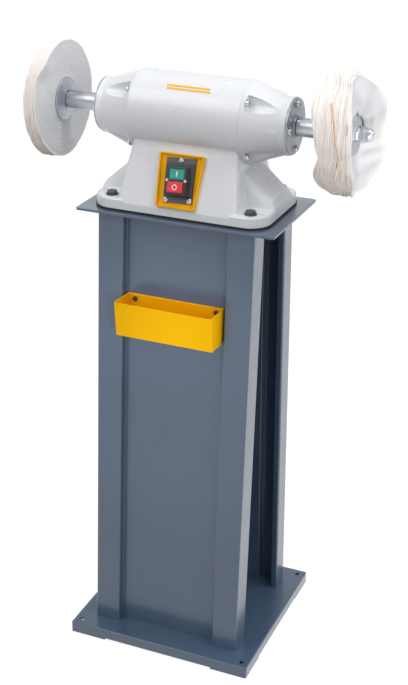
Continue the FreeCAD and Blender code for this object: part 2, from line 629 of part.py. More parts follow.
# --------------------------------------------------------------------- rotor
def rotor_shaft():
    half = [(0, 17.0), (58.0, 17.0), (58.0, 14.0), (100.0, 14.0), (100.0, 12.4), (BRG_X0, 12.4), (BRG_X0, SPINDLE_R),
            (272.6, SPINDLE_R), (272.6, 8.0), (299.0, 8.0), (299.0, 0.0)]
    prof = [(x, r) for x, r in half] + [(-x, r) for x, r in reversed(half)][:-1]
    prof = [(-299.0, 0.0)] + [(-x, r) for x, r in reversed(half[1:-1])] + [(x, r) for x, r in half[1:-1]] + [(299.0, 0.0)]
    f = Part.Face(Part.makePolygon([Vector(x, 0, AX_Z + r) for x, r in prof] + [Vector(prof[0][0], 0, AX_Z + prof[0][1])]))
    s = f.revolve(Vector(0, 0, AX_Z), Vector(1, 0, 0), 360)
    ends = edges_where(s, lambda e: abs(abs(e.BoundBox.XMin) - 299.0) < 0.1 and e.Length > 40)
    try:
        c = s.makeChamfer(1.4, ends)
        if c.isValid():
            s = c
    except Exception:
        pass
    return s


def rotor_core_and_cage():
    core = lathe([(-40, 17.0), (40, 17.0), (40, 33.0), (-40, 33.0)])
    n = 18
    bars = []
    for i in range(n):
        a = 2 * math.pi * i / n
        bars.append(cyl(2.2, (-40, 29.6 * math.cos(a), AX_Z + 29.6 * math.sin(a)), (1, 0, 0), 80))
    comp = bars[0].multiFuse(bars[1:])
    core = core.cut(comp)
    rings = [lathe([(40, 22.0), (52, 22.0), (52, 32.4), (40, 32.4)], [0, 2, 2, 0]),
             lathe([(-52, 22.0), (-40, 22.0), (-40, 32.4), (-52, 32.4)], [2, 0, 0, 2])]
    cage = rings[0].multiFuse([rings[1]] + bars).removeSplitter()
    return core, cage


def spacer_sleeve():
    prof = [(BRG_X0 + BRG_W, SPINDLE_R + 0.03), (241.4, SPINDLE_R + 0.03), (241.4, 13.0), (238.6, 13.0), (238.6, SLEEVE_R), (HUB_END + 0.4, SLEEVE_R),
            (HUB_END + 0.4, 12.8), (BRG_X0 + BRG_W, 12.8)]
    rad = [0, 0, 0.3, 0, 1.2, 1.0, 0, 0.3]
    return lathe(prof, rad)


def inner_flange():
    prof = [(241.5, SPINDLE_R + 0.03), (248.9, SPINDLE_R + 0.03), (248.9, 13.0), (248.0, 14.0), (248.0, 30.0), (248.9, 31.0),
            (248.9, INNER_FLANGE_R), (246.2, INNER_FLANGE_R), (243.2, 21.0), (241.5, 17.5)]
    rad = [0, 0, 0, 0, 0, 0, 0.6, 1.4, 4.0, 0.8]
    return lathe(prof, rad)


def outer_flange():
    prof = [(271.1, SPINDLE_R + 0.1), (271.1, OUTER_FLANGE_R), (273.1, OUTER_FLANGE_R), (274.9, 24.0), (274.9, SPINDLE_R + 0.1)]
    rad = [0, 0.3, 0.8, 3.0, 0]
    return lathe(prof, rad)


def wheel_blank(rim_in, rim_out, hub_r, rim_r):
    """Closed outer form of a cloth wheel: clamped hub, fuller rim."""
    prof = [(WHEEL_IN, SPINDLE_R + 0.05), (WHEEL_OUT, SPINDLE_R + 0.05), (WHEEL_OUT, hub_r), (rim_out, 82.0), (rim_out, WHEEL_R),
            (rim_in, WHEEL_R), (rim_in, 82.0), (WHEEL_IN, hub_r)]
    rad = [0, 0, 6, 12, rim_r, rim_r, 12, 6]
    return lathe(prof, rad)


def cap_nut():
    """Domed M16 cap nut."""
    r = NUT_AF / math.sqrt(3.0)
    hexa = hexagon(NUT_AF, 14.0, NUT_IN)
    env = lathe([(NUT_IN, 0.5), (NUT_IN, NUT_AF / 2 * 0.97), (NUT_IN + 1.2, r + 0.4), (NUT_IN + 12.4, r + 0.4), (NUT_IN + 14.0, NUT_AF / 2 * 0.95), (NUT_IN + 14.0, 0.5)])
    env = env.fuse(cyl(1.0, (NUT_IN, 0, AX_Z), (1, 0, 0), 14.0))
    hexa = hexa.common(env)
    rd = 11.2
    dome = cyl(rd, (NUT_IN + 13.0, 0, AX_Z), (1, 0, 0), NUT_OUT - NUT_IN - 13.0)
    tip = edges_where(dome, lambda e: e.BoundBox.XMin > NUT_OUT - 0.1 and e.Length > 20)
    dome = try_fillet(dome, 9.0, tip, "cap nut dome")
    s = hexa.fuse(dome)
    s = s.cut(cyl(8.0, (NUT_IN - 1, 0, AX_Z), (1, 0, 0), 26.0))
    return s


# -------------------------------------------------------------------- stator
def stator():
    core = lathe([(-40, 33.6), (40, 33.6), (40, BORE_R - 0.05), (-40, BORE_R - 0.05)])
    n = 24
    slots, bars = [], []
    for i in range(n):
        a = 360.0 * i / n
        sl = box(-41, 41, 35.5, 49.0, -2.3, 2.3).fuse(box(-41, 41, 33.0, 36.0, -1.0, 1.0))
        br = box(-41, 41, 36.2, 48.6, -1.9, 1.9)
        for o, lst in ((sl, slots), (br, bars)):
            o.rotate(Vector(0, 0, 0), Vector(1, 0, 0), a)
            o.translate(Vector(0, 0, AX_Z))
            lst.append(o)
    core = core.cut(slots[0].multiFuse(slots[1:]))
    ring = lathe([(40.4, 36.4), (63, 36.4), (63, 53.0), (40.4, 53.0)], [2, 7, 7, 2])
    wind = ring.multiFuse([mirror_x(ring)] + bars).removeSplitter()
    return core, wind


# -------------------------------------------------------------- electrical
def bottom_cover():
    s = rrect(99.4, 87.4, 7.4, PAD_TOP + 2.3, 1.5)
    for sx in (-1, 1):
        for sy in (-1, 1):
            s = s.cut(cyl(2.3, (sx * 82, sy * 70, PAD_TOP), (0, 0, 1), 10))
    return s


def bottom_cover_screws():
    out = []
    for sx in (-1, 1):
        for sy in (-1, 1):
            x, y = sx * 82, sy * 70
            out.append(cyl(3.6, (x, y, PAD_TOP + 0.2), (0, 0, 1), 2.1).fuse(cyl(2.0, (x, y, PAD_TOP + 2.0), (0, 0, 1), 14)))
    return out


def capacitor():
    z = PAD_TOP + 3.8 + 20.5
    can = cyl(18.0, (-62, 30, z), (1, 0, 0), 68)
    rim = edges_where(can, lambda e: e.Length > 60 and e.BoundBox.XLength < 1)
    can = try_fillet(can, 2.0, rim, "capacitor can")
    for y in (24, 36):
        can = can.fuse(box(5.5, 15, y - 0.4, y + 0.4, z - 3.2, z + 3.2))
    clamp = cyl(19.6, (-36, 30, z), (1, 0, 0), 14).cut(cyl(18.05, (-37, 30, z), (1, 0, 0), 16))
    foot = box(-36, -22, 6, 54, PAD_TOP + 3.8, PAD_TOP + 5.3)
    clamp = clamp.fuse(foot).cut(cyl(18.05, (-37, 30, z), (1, 0, 0), 16))
    return can, clamp


def terminal_block():
    z = PAD_TOP + 3.8
    s = box(20, 68, 14, 36, z, z + 16)
    for i in range(5):
        x = 25 + i * 9.4
        s = s.cut(cyl(2.2, (x, 20, z + 5), (0, 0, 1), 20)).cut(cyl(2.2, (x, 30, z + 5), (0, 0, 1), 20))
    return s


def cable_gland():
    """Body through the rear boss, hexagon outside; bore left open for a lead."""
    x, z, y = GLAND_X, GLAND_Z, GLAND_FACE

    def hex_y(af, h, y0):
        r = af / math.sqrt(3.0)
        p = [Vector(x + r * math.cos(math.radians(60 * i)), y0, z + r * math.sin(math.radians(60 * i))) for i in range(7)]
        return Part.Face(Part.makePolygon(p)).extrude(Vector(0, h, 0))

    body = hex_y(24, 6, y).fuse(cyl(10.0, (x, y - 26, z), (0, 1, 0), 26.1)).fuse(cyl(9.6, (x, y + 5, z), (0, 1, 0), 8))
    body = body.cut(cyl(6.0, (x, y - 40, z), (0, 1, 0), 80))
    cap = hex_y(24, 10, y + 7).fuse(cyl(11.6, (x, y + 16, z), (0, 1, 0), 6))
    top = edges_where(cap, lambda e: e.BoundBox.YMin > y + 21.9 and e.Length > 30)
    cap = try_fillet(cap, 3.2, top, "gland dome")
    cap = cap.cut(cyl(5.0, (x, y, z), (0, 1, 0), 40)).cut(cyl(9.65, (x, y, z), (0, 1, 0), 13.2))
    seal = cyl(5.95, (x, y + 0.6, z), (0, 1, 0), 12.2).cut(cyl(4.0, (x, y - 10, z), (0, 1, 0), 40))
    return body, cap, seal


# -------------------------------------------------------------------- switch
def switch_bezel():
    def trap(o, z, h, r):
        return rounded_face([(-BZ_BOT + o, BZ_V0 + o), (BZ_BOT - o, BZ_V0 + o), (BZ_TOP - o, BZ_V1 - o), (-BZ_TOP + o, BZ_V1 - o)], r, z).extrude(Vector(0, 0, h))
    s = trap(0, 0, BZ_H, 2.5)
    s = try_fillet(s, 0.9, edges_where(s, lambda e: e.BoundBox.ZMin > BZ_H - 0.1), "bezel rim")
    s = s.cut(trap(2.6, 2.4, 20, 1.5))
    holes = [rrect(23.0, 28.0, 3.0, -5, 20, 0, -8.0)]
    for x, v in PLATE_SCREWS:
        holes.append(cyl(2.8, (x, v, -5), (0, 0, 1), 20))
    for h in holes:
        h.rotate(Vector(0, 26.2, 0), Vector(0, 0, 1), SW_TURN)
        s = s.cut(h)
    return switch_place(s, False)


def switch_plate():
    s = rounded_face([(-25.4, -43.8), (25.4, -43.8), (26.4, 30.6), (-26.4, 30.6)], 1.2, 2.4).extrude(Vector(0, 0, 2.2))
    s = s.cut(rrect(21.4, 26.4, 2.0, 0, 10, 0, -8.0))
    for x, v in PLATE_SCREWS:
        s = s.cut(cyl(2.8, (x, v, 0), (0, 0, 1), 20))
    return switch_place(s)


BTN_HX = 13.2
START_V, STOP_V = (-5.7, 11.2), (-27.6, -10.6)
FRONT_SCREW_X = 15.9


def switch_housing():
    base = rrect(25.0, 26.4, 3.0, 4.6, 3.4, 0, -4.9)
    base = try_fillet(base, 1.0, edges_where(base, lambda e: e.BoundBox.ZMin > 7.9), "switch base rim")
    lower = rounded_face([(-17.4, -32.0), (17.4, -32.0), (17.4, 15.4), (-17.4, 15.4)], 2.6, 7.0)
    upper = rounded_face([(-15.8, -31.0), (15.8, -31.0), (15.8, 14.2), (-15.8, 14.2)], 2.2, 20.0)
    blk = Part.makeLoft([lower.OuterWire, upper.OuterWire], True, True)
    for sx in (-1, 1):
        blk = blk.fuse(cyl(3.4, (sx * FRONT_SCREW_X, -7.9, 7.0), (0, 0, 1), 13.0))
    s = base.fuse(blk)
    # contact block behind the plate
    s = s.fuse(rrect(21.0, 26.0, 2.0, -32.0, 37.0, 0, -8.0))
    s = s.removeSplitter()
    s = try_fillet(s, 0.8, edges_where(s, lambda e: e.BoundBox.ZMin > 19.9 and e.Length > 3), "switch face rim")
    for v0, v1 in (START_V, STOP_V):
        s = s.cut(rrect(BTN_HX + 0.35, (v1 - v0) / 2 + 0.35, 1.4, 4.0, 20.0, 0, (v0 + v1) / 2))
        # wider chamber behind the face, for the button's retaining flange
        s = s.cut(rrect(BTN_HX + 1.6, (v1 - v0) / 2 + 1.2, 1.4, 4.0, 8.0, 0, (v0 + v1) / 2))
    for sx in (-1, 1):
        s = s.cut(cyl(1.3, (sx * FRONT_SCREW_X, -7.9, 10.0), (0, 0, 1), 12.0))
    return switch_place(s)


def button(v0, v1, top):
    vc = (v0 + v1) / 2
    hv = (v1 - v0) / 2
    s = rrect(BTN_HX, hv, 1.2, 10.0, top - 10.0, 0, vc)
    s = try_fillet(s, 0.9, edges_where(s, lambda e: e.BoundBox.ZMin > top - 0.1), "button rim")
    s = s.fuse(rrect(BTN_HX + 1.2, hv + 0.8, 1.2, 8.6, 3.0, 0, vc))
    return switch_place(s.removeSplitter())


def switch_screws():
    plate, front = [], []
    for x, v in PLATE_SCREWS:
        hd = cyl(4.6, (x, v, 4.6), (0, 0, 1), 3.4)
        hd = try_fillet(hd, 2.4, edges_where(hd, lambda e: e.BoundBox.ZMin > 7.9 and e.Length > 20), "plate screw")
        s = hd.fuse(cyl(2.45, (x, v, -7.0), (0, 0, 1), 11.7))
        for a, b in ((3.0, 0.55), (0.55, 3.0)):
            s = s.cut(box(x - a, x + a, v - b, v + b, 6.2, 9.0))
        plate.append(switch_place(s))
    for sx in (-1, 1):
        x, v = sx * FRONT_SCREW_X, -7.9
        hd = cyl(2.5, (x, v, 20.0), (0, 0, 1), 1.5)
        hd = try_fillet(hd, 1.0, edges_where(hd, lambda e: e.BoundBox.ZMin > 21.4 and e.Length > 10), "front screw")
        s = hd.fuse(cyl(1.25, (x, v, 10.5), (0, 0, 1), 9.6)).cut(box(x - 1.9, x + 1.9, v - 0.35, v + 0.35, 20.7, 23.0))
        front.append(switch_place(s))
    return plate, front


# --------------------------------------------------------------------- build
export("base_pan", base_pan())
export("stand_front_panel", column_panel(-1, FL_FRONT))
export("stand_rear_panel", column_panel(1, FL_REAR))
fb, fn = foot_fasteners()
export("foot_bolts", fb)
export("foot_nuts", fn)
export("top_plate", top_plate())
export("tool_tray", tool_tray())
ts, tn = tray_screws()
export("tray_screws", ts)
export("tray_nuts", tn)
export("rubber_pad", rubber_pad())
mb, mu, ml, mn = machine_fasteners()
export("machine_bolts", mb)
export("machine_washers", mu + ml)
export("machine_nuts", mn)

export("motor_housing", motor_housing())
export("right_end_bell", at_machine(end_bell(BRG_X0, 0.8)))
export("left_end_bell", left_of(end_bell(BRG_X0 - 2.0, 0.0)))
bs, bw = bell_screws()
export("bell_screws", [at_machine(s) for s in bs])
export("bell_screw_washers", [at_machine(s) for s in bw])
cov = bearing_cover()
export("right_bearing_cover", at_machine(cov))
export("left_bearing_cover", left_of(cov))
export("cover_screws", [at_machine(s) for s in cover_screws()])

o, i, b, c = bearing()
for side, f in (("right", at_machine), ("left", left_of)):
    export(side + "_bearing_outer_ring", f(o))
    export(side + "_bearing_inner_ring", f(i))
    export(side + "_bearing_balls", [f(s) for s in b])
    export(side + "_bearing_cage", f(c))
export("preload_spring", left_of(wave_spring()))

export("rotor_shaft", at_machine(rotor_shaft()))
rc_, cg_ = rotor_core_and_cage()
export("rotor_core", at_machine(rc_))
export("rotor_cage", at_machine(cg_))
sc_, wd_ = stator()
export("stator_core", at_machine(sc_))
export("stator_windings", at_machine(wd_))

for side, f in (("right", at_machine), ("left", left_of)):
    export(side + "_spacer_sleeve", f(spacer_sleeve()))
    export(side + "_inner_flange", f(inner_flange()))
    export(side + "_outer_flange", f(outer_flange()))
    export(side + "_spindle_nut", f(cap_nut()))
export("left_polishing_wheel", left_of(wheel_blank(247.6, 273.0, 60.0, 5.0)))
export("right_polishing_wheel", at_machine(wheel_blank(229.0, 291.0, 46.0, 17.0)))

export("bottom_cover", at_machine(bottom_cover()))
export("bottom_cover_screws", [at_machine(s) for s in bottom_cover_screws()])
can, clamp = capacitor()
export("capacitor", at_machine(can))
export("capacitor_clamp", at_machine(clamp))
export("terminal_block", at_machine(terminal_block()))
gb, gc, gs = cable_gland()
export("cable_gland", at_machine(gb))
export("gland_cap_nut", at_machine(gc))
export("gland_seal", at_machine(gs))

export("switch_bezel", switch_bezel())
export("switch_plate", switch_plate())
export("switch_housing", switch_housing())
export("start_button", button(START_V[0], START_V[1], 19.4))
export("stop_button", button(STOP_V[0], STOP_V[1], 24.0))
ps, fs = switch_screws()
export("switch_plate_screws", ps)
export("switch_front_screws", fs)
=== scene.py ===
import math
import random

import bmesh
import bpy
from mathutils import Matrix, Vector, noise


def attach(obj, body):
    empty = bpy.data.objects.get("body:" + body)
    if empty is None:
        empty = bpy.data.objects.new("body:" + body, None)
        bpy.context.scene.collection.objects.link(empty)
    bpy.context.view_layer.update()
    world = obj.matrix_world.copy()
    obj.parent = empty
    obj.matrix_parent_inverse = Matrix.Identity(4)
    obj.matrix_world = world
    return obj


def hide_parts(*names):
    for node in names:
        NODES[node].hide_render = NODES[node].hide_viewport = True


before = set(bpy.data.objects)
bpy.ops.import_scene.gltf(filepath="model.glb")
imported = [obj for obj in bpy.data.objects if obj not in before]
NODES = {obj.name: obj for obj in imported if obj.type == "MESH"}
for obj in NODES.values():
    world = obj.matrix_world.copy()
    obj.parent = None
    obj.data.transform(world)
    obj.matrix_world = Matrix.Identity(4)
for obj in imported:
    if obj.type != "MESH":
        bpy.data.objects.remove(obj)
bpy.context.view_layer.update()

# ------------------------------------------------------------------ key sizes, in metres
AXIS_X, AXIS_Y, AXIS_Z = -0.0025, 0.006, 0.976   # middle of the spindle
FACE_TAN = 0.383                         # slope of the pedestal's front face
SWITCH_TURN = 2.5                         # the switch sits a little crooked, degrees
STRIPE_X = (-36.8, 39.2)                  # two plain stripes on the barrel, mm and degrees
STRIPES = ((126.2, 129.5), (131.0, 134.3))


# ------------------------------------------------------------------ camera
def camera():
    az, el, roll = math.radians(22.4830), math.radians(24.4486), math.radians(0.8467)
    dist, target = 2.40482, Vector((0.014947, 0.0, 0.567718))
    back = Vector((math.sin(az) * math.cos(el), -math.cos(az) * math.cos(el), math.sin(el)))
    right = Vector((math.cos(az), math.sin(az), 0.0))
    up = back.cross(right)
    r2 = right * math.cos(roll) + up * math.sin(roll)
    u2 = up * math.cos(roll) - right * math.sin(roll)
    data = bpy.data.cameras.new("camera")
    data.sensor_width = 36.0
    data.sensor_fit = "AUTO"
    data.lens = 36.0 * 1354.54 / 685.0
    data.shift_x, data.shift_y = 0.00079, -0.00126
    data.clip_start, data.clip_end = 0.05, 60.0
    cam = bpy.data.objects.new("camera", data)
    m = Matrix((r2, u2, back)).transposed().to_4x4()
    m.translation = target + back * dist
    cam.matrix_world = m
    bpy.context.scene.collection.objects.link(cam)
    bpy.context.scene.camera = cam
    return cam


def area(name, loc, aim, size, energy, size_y=None, color=(1, 1, 1)):
    data = bpy.data.lights.new(name, "AREA")
    data.energy, data.color = energy, color
    data.size = size
    if size_y:
        data.shape, data.size_y = "RECTANGLE", size_y
    ob = bpy.data.objects.new(name, data)
    ob.location = loc
    ob.rotation_euler = (Vector(aim) - Vector(loc)).to_track_quat("-Z", "Y").to_euler()
    bpy.context.scene.collection.objects.link(ob)
    return ob


def glow(name, loc, aim, spread, energy, color=(1, 1, 1)):
    """Soft narrow lamp on one region."""
    spot = bpy.data.lights.new(name, "SPOT")
    spot.energy, spot.shadow_soft_size, spot.color = energy, 0.07, color
    spot.spot_size, spot.spot_blend = math.radians(spread), 1.0
    ob = bpy.data.objects.new(name, spot)
    ob.location = loc
    ob.rotation_euler = (Vector(aim) - ob.location).to_track_quat("-Z", "Y").to_euler()
    bpy.context.scene.collection.objects.link(ob)


def studio():
    """White room: even light from all round, and one strong soft lamp above and a little to the right."""
    world = bpy.data.worlds.new("studio")
    bpy.context.scene.world = world
    world.use_nodes = True
    t = world.node_tree
    bg = t.nodes["Background"]
    coord = t.nodes.new("ShaderNodeTexCoord")
    sep = t.nodes.new("ShaderNodeSeparateXYZ")
    t.links.new(coord.outputs["Generated"], sep.inputs["Vector"])
    fac = t.nodes.new("ShaderNodeMapRange")
    fac.inputs["From Min"].default_value, fac.inputs["From Max"].default_value = -1.0, 1.0
    t.links.new(sep.outputs["Z"], fac.inputs["Value"])
    ramp = t.nodes.new("ShaderNodeValToRGB")
    e = ramp.color_ramp.elements
    stops = [(0.0, 0.09), (0.46, 0.15), (0.53, 0.58), (0.70, 0.64), (1.0, 0.36)]
    while len(e) < len(stops):
        e.new(0.5)
    for i, (p, v) in enumerate(stops):
        e[i].position = p
        e[i].color = (v * 0.965, v * 0.985, v * 1.02, 1)
    t.links.new(fac.outputs["Result"], ramp.inputs["Fac"])
    t.links.new(ramp.outputs["Color"], bg.inputs["Color"])
    bg.inputs["Strength"].default_value = 1.0
    area("overhead", (0.95, 0.06, 2.95), (0, 0, 0.95), 0.42, 12)
    area("ceiling", (-0.45, 0.2, 3.2), (-0.45, 0.2, 0.0), 2.6, 15)
    area("front", (-1.25, -1.65, 2.95), (0, 0, 0.8), 1.4, 21, 1.4, (1.0, 0.995, 0.985))
    area("right_front", (2.1, -1.3, 1.5), (0, 0, 0.85), 1.4, 10, 1.2)
    area("right_rear", (2.1, 0.7, 2.2), (0, 0, 0.85), 1.4, 9, 1.4)
    area("rear", (-1.7, 4.2, 1.45), (0, 0, 0.3), 4.0, 17, 1.6)
    glow("stand_glow", (-0.35, -2.5, 0.75), (0, -0.1, 0.50), 15.0, 40)
    glow("tray_glow", (1.5, -2.0, 0.80), (0.015, -0.12, 0.645), 6.5, 105)
    glow("left_wheel_glow", (-1.9, -2.1, 0.9), (-0.31, 0.0, 0.93), 7.5, 140, (1.0, 0.985, 0.965))
    glow("right_wheel_glow", (1.15, -2.55, 0.50), (0.34, -0.02, 0.94), 7.5, 135, (1.0, 0.99, 0.975))
    bpy.context.scene.view_settings.view_transform = "Standard"


# ------------------------------------------------------------------ shader helpers
class Mat:
    """A small builder around one Principled material."""

    def __init__(self, name):
        self.m = bpy.data.materials.new(name)
        self.m.use_nodes = True
        self.t = self.m.node_tree
        self.t.nodes.clear()
        self.out = self.t.nodes.new("ShaderNodeOutputMaterial")
        self.b = self.t.nodes.new("ShaderNodeBsdfPrincipled")
        self.t.links.new(self.b.outputs["BSDF"], self.out.inputs["Surface"])
        self._coord = None

    def node(self, kind, **props):
        n = self.t.nodes.new(kind)
        for k, v in props.items():
            setattr(n, k, v)
        return n

    def link(self, a, b):
        self.t.links.new(a, b)

    def put(self, socket, value):
        if hasattr(value, "is_output"):
            self.link(value, socket)
        else:
            socket.default_value = value

    def set(self, **kw):
        for k, v in kw.items():
            self.b.inputs[k.replace("_", " ")].default_value = v
        return self

    def coord(self, kind="Object"):
        if self._coord is None:
            self._coord = self.node("ShaderNodeTexCoord")
        return self._coord.outputs[kind]

    def mapped(self, scale=(1, 1, 1), rot=(0, 0, 0), loc=(0, 0, 0), src=None):
        n = self.node("ShaderNodeMapping")
        self.link(src or self.coord(), n.inputs["Vector"])
        n.inputs["Scale"].default_value = scale
        n.inputs["Rotation"].default_value = rot
        n.inputs["Location"].default_value = loc
        return n.outputs["Vector"]

    def noise(self, vec, scale, detail=3.0, rough=0.5, dist=0.0):
        n = self.node("ShaderNodeTexNoise")
        self.link(vec, n.inputs["Vector"])
        n.inputs["Scale"].default_value = scale
        n.inputs["Detail"].default_value = detail
        n.inputs["Roughness"].default_value = rough
        n.inputs["Distortion"].default_value = dist
        return n.outputs["Fac"]

    def voronoi(self, vec, scale, feature="F1"):
        n = self.node("ShaderNodeTexVoronoi", feature=feature)
        self.link(vec, n.inputs["Vector"])
        n.inputs["Scale"].default_value = scale
        return n.outputs["Distance"]

    def wave(self, vec, scale, kind="BANDS", direction="X", dist=0.0, detail=2.0, dscale=1.0):
        n = self.node("ShaderNodeTexWave", wave_type=kind)
        if kind == "BANDS":
            n.bands_direction = direction
        else:
            n.rings_direction = direction
        self.link(vec, n.inputs["Vector"])
        n.inputs["Scale"].default_value = scale
        n.inputs["Distortion"].default_value = dist
        n.inputs["Detail"].default_value = detail
        n.inputs["Detail Scale"].default_value = dscale
        return n.outputs["Fac"]

    def math(self, op, a, b=0.0, c=None):
        n = self.node("ShaderNodeMath", operation=op)
        self.put(n.inputs[0], a)
        self.put(n.inputs[1], b)
        if c is not None:
            self.put(n.inputs[2], c)
        return n.outputs[0]

    def span(self, fac, lo, hi, a=0.0, b=1.0):
        n = self.node("ShaderNodeMapRange")
        self.put(n.inputs["Value"], fac)
        n.inputs["From Min"].default_value = a
        n.inputs["From Max"].default_value = b
        n.inputs["To Min"].default_value = lo
        n.inputs["To Max"].default_value = hi
        return n.outputs["Result"]

    def ramp(self, fac, stops):
        n = self.node("ShaderNodeValToRGB")
        e = n.color_ramp.elements
        while len(e) < len(stops):
            e.new(0.5)
        for i, (p, c) in enumerate(stops):
            e[i].position = p
            e[i].color = (c[0], c[1], c[2], 1)
        self.link(fac, n.inputs["Fac"])
        return n.outputs["Color"]

    def mix(self, fac, a, b, mode="MIX"):
        n = self.node("ShaderNodeMix", data_type="RGBA", blend_type=mode)
        self.put(n.inputs["Factor"], fac)
        for s, v in (("A", a), ("B", b)):
            sock = [i for i in n.inputs if i.name == s and i.type == "RGBA"][0]
            self.put(sock, v if hasattr(v, "is_output") else (v[0], v[1], v[2], 1))
        return [o for o in n.outputs if o.type == "RGBA"][0]

    def bump(self, height, distance, strength=1.0, normal=None):
        n = self.node("ShaderNodeBump")
        n.inputs["Distance"].default_value = distance
        n.inputs["Strength"].default_value = strength
        self.link(height, n.inputs["Height"])
        if normal is not None:
            self.link(normal, n.inputs["Normal"])
        return n.outputs["Normal"]

    def done(self, color=None, rough=None, metal=None, normal=None):
        for name, v in (("Base Color", color), ("Roughness", rough), ("Metallic", metal), ("Normal", normal)):
            if v is None:
                continue
            if name == "Base Color" and not hasattr(v, "is_output"):
                v = (v[0], v[1], v[2], 1)
            self.put(self.b.inputs[name], v)
        return self.m


def powder_coat(name, base, rough=0.4, peel=0.00005, vary=0.06, coat=0.0, ior=1.5, level=0.5):
    """Baked powder coat: even colour, faint orange peel, very slight clouding of the gloss."""
    m = Mat(name)
    v = m.coord()
    cloud = m.noise(v, 6.0, 3.0)
    fine = m.noise(v, 900.0, 2.0)
    lo = tuple(c * (1 - vary) for c in base)
    hi = tuple(min(1.0, c * (1 + vary)) for c in base)
    col = m.mix(m.span(cloud, 0.0, 1.0, 0.3, 0.7), lo, hi)
    col = m.mix(m.span(fine, 0.0, 0.10, 0.4, 0.75), col, tuple(min(1.0, c * 1.3) for c in base))
    r = m.span(m.noise(v, 18.0, 4.0, 0.6), rough - 0.05, rough + 0.06, 0.3, 0.7)
    n = m.bump(m.noise(v, 620.0, 2.0, 0.45), peel, 0.5)
    m.set(Coat_Weight=coat, Coat_Roughness=0.2, IOR=ior, Specular_IOR_Level=level)
    return m.done(col, r, None, n)


def enamel(name, base, rough=0.3):
    """Glossy enamel over a smoothed casting, with faint long waves under the paint."""
    m = Mat(name)
    v = m.coord()
    cloud = m.noise(v, 9.0, 2.0)
    lo = tuple(c * 0.975 for c in base)
    col = m.mix(m.span(cloud, 0.0, 1.0, 0.3, 0.7), lo, base)
    r = m.span(m.noise(v, 30.0, 3.0), rough - 0.04, rough + 0.05, 0.3, 0.7)
    n1 = m.bump(m.noise(v, 30.0, 1.0, 0.4), 0.0003, 0.12)
    m.set(Coat_Weight=0.25, Coat_Roughness=0.14)
    return m.done(col, r, None, n1)


def metal(name, base, rough=0.28, turned=None, scale=2600.0, dirt=0.0, aniso=0.0):
    """Bare or plated steel. turned='X' draws the tool's rings along the spindle."""
    m = Mat(name)
    v = m.coord()
    cloud = m.noise(v, 40.0, 4.0, 0.6)
    lo = tuple(c * 0.82 for c in base)
    col = m.mix(m.span(cloud, 0.0, 1.0, 0.25, 0.75), lo, base)
    if dirt:
        col = m.mix(m.span(m.noise(v, 90.0, 5.0, 0.7), 0.0, dirt, 0.5, 0.8), col, (0.1, 0.09, 0.08))
    r = m.span(m.noise(v, 120.0, 4.0, 0.6), rough - 0.06, rough + 0.10, 0.3, 0.7)
    n = None
    if turned:
        long = m.mapped((scale, 25.0, 25.0))
        rings = m.noise(long, 1.0, 3.0, 0.6)
        n = m.bump(rings, 0.00002, 0.6)
    else:
        n = m.bump(m.noise(v, 1300.0, 3.0, 0.6), 0.00001, 0.5)
    m.set(Anisotropic=aniso)
    return m.done(col, r, 1.0, n)


def plastic(name, base, rough=0.45, grain=0.00004, scale=1500.0, coat=0.0, level=0.5):
    """Moulded plastic with a fine spark-eroded grain."""
    m = Mat(name)
    v = m.coord()
    col = m.mix(m.span(m.noise(v, 25.0, 3.0), 0.0, 1.0, 0.3, 0.7), tuple(c * 0.93 for c in base), base)
    r = m.span(m.noise(v, 200.0, 3.0), rough - 0.05, rough + 0.06, 0.3, 0.7)
    n = m.bump(m.voronoi(v, scale), grain, 0.5)
    m.set(Coat_Weight=coat, Coat_Roughness=0.15, Specular_IOR_Level=level)
    return m.done(col, r, None, n)


def rubber(name):
    m = Mat(name)
    v = m.coord()
    col = m.mix(m.span(m.noise(v, 60.0, 4.0), 0.0, 1.0, 0.3, 0.7), (0.012, 0.012, 0.013), (0.03, 0.03, 0.031))
    n = m.bump(m.noise(v, 900.0, 4.0, 0.6), 0.0001, 0.5)
    return m.done(col, 0.75, None, n)


def black_oxide(name):
    m = Mat(name)
    v = m.coord()
    col = m.mix(m.span(m.noise(v, 300.0, 4.0), 0.0, 1.0, 0.3, 0.7), (0.060, 0.066, 0.078), (0.115, 0.125, 0.145))
    r = m.span(m.noise(v, 200.0, 3.0), 0.38, 0.5, 0.3, 0.7)
    n = m.bump(m.noise(v, 1500.0, 2.0), 0.00002, 0.6)
    return m.done(col, r, 0.35, n)


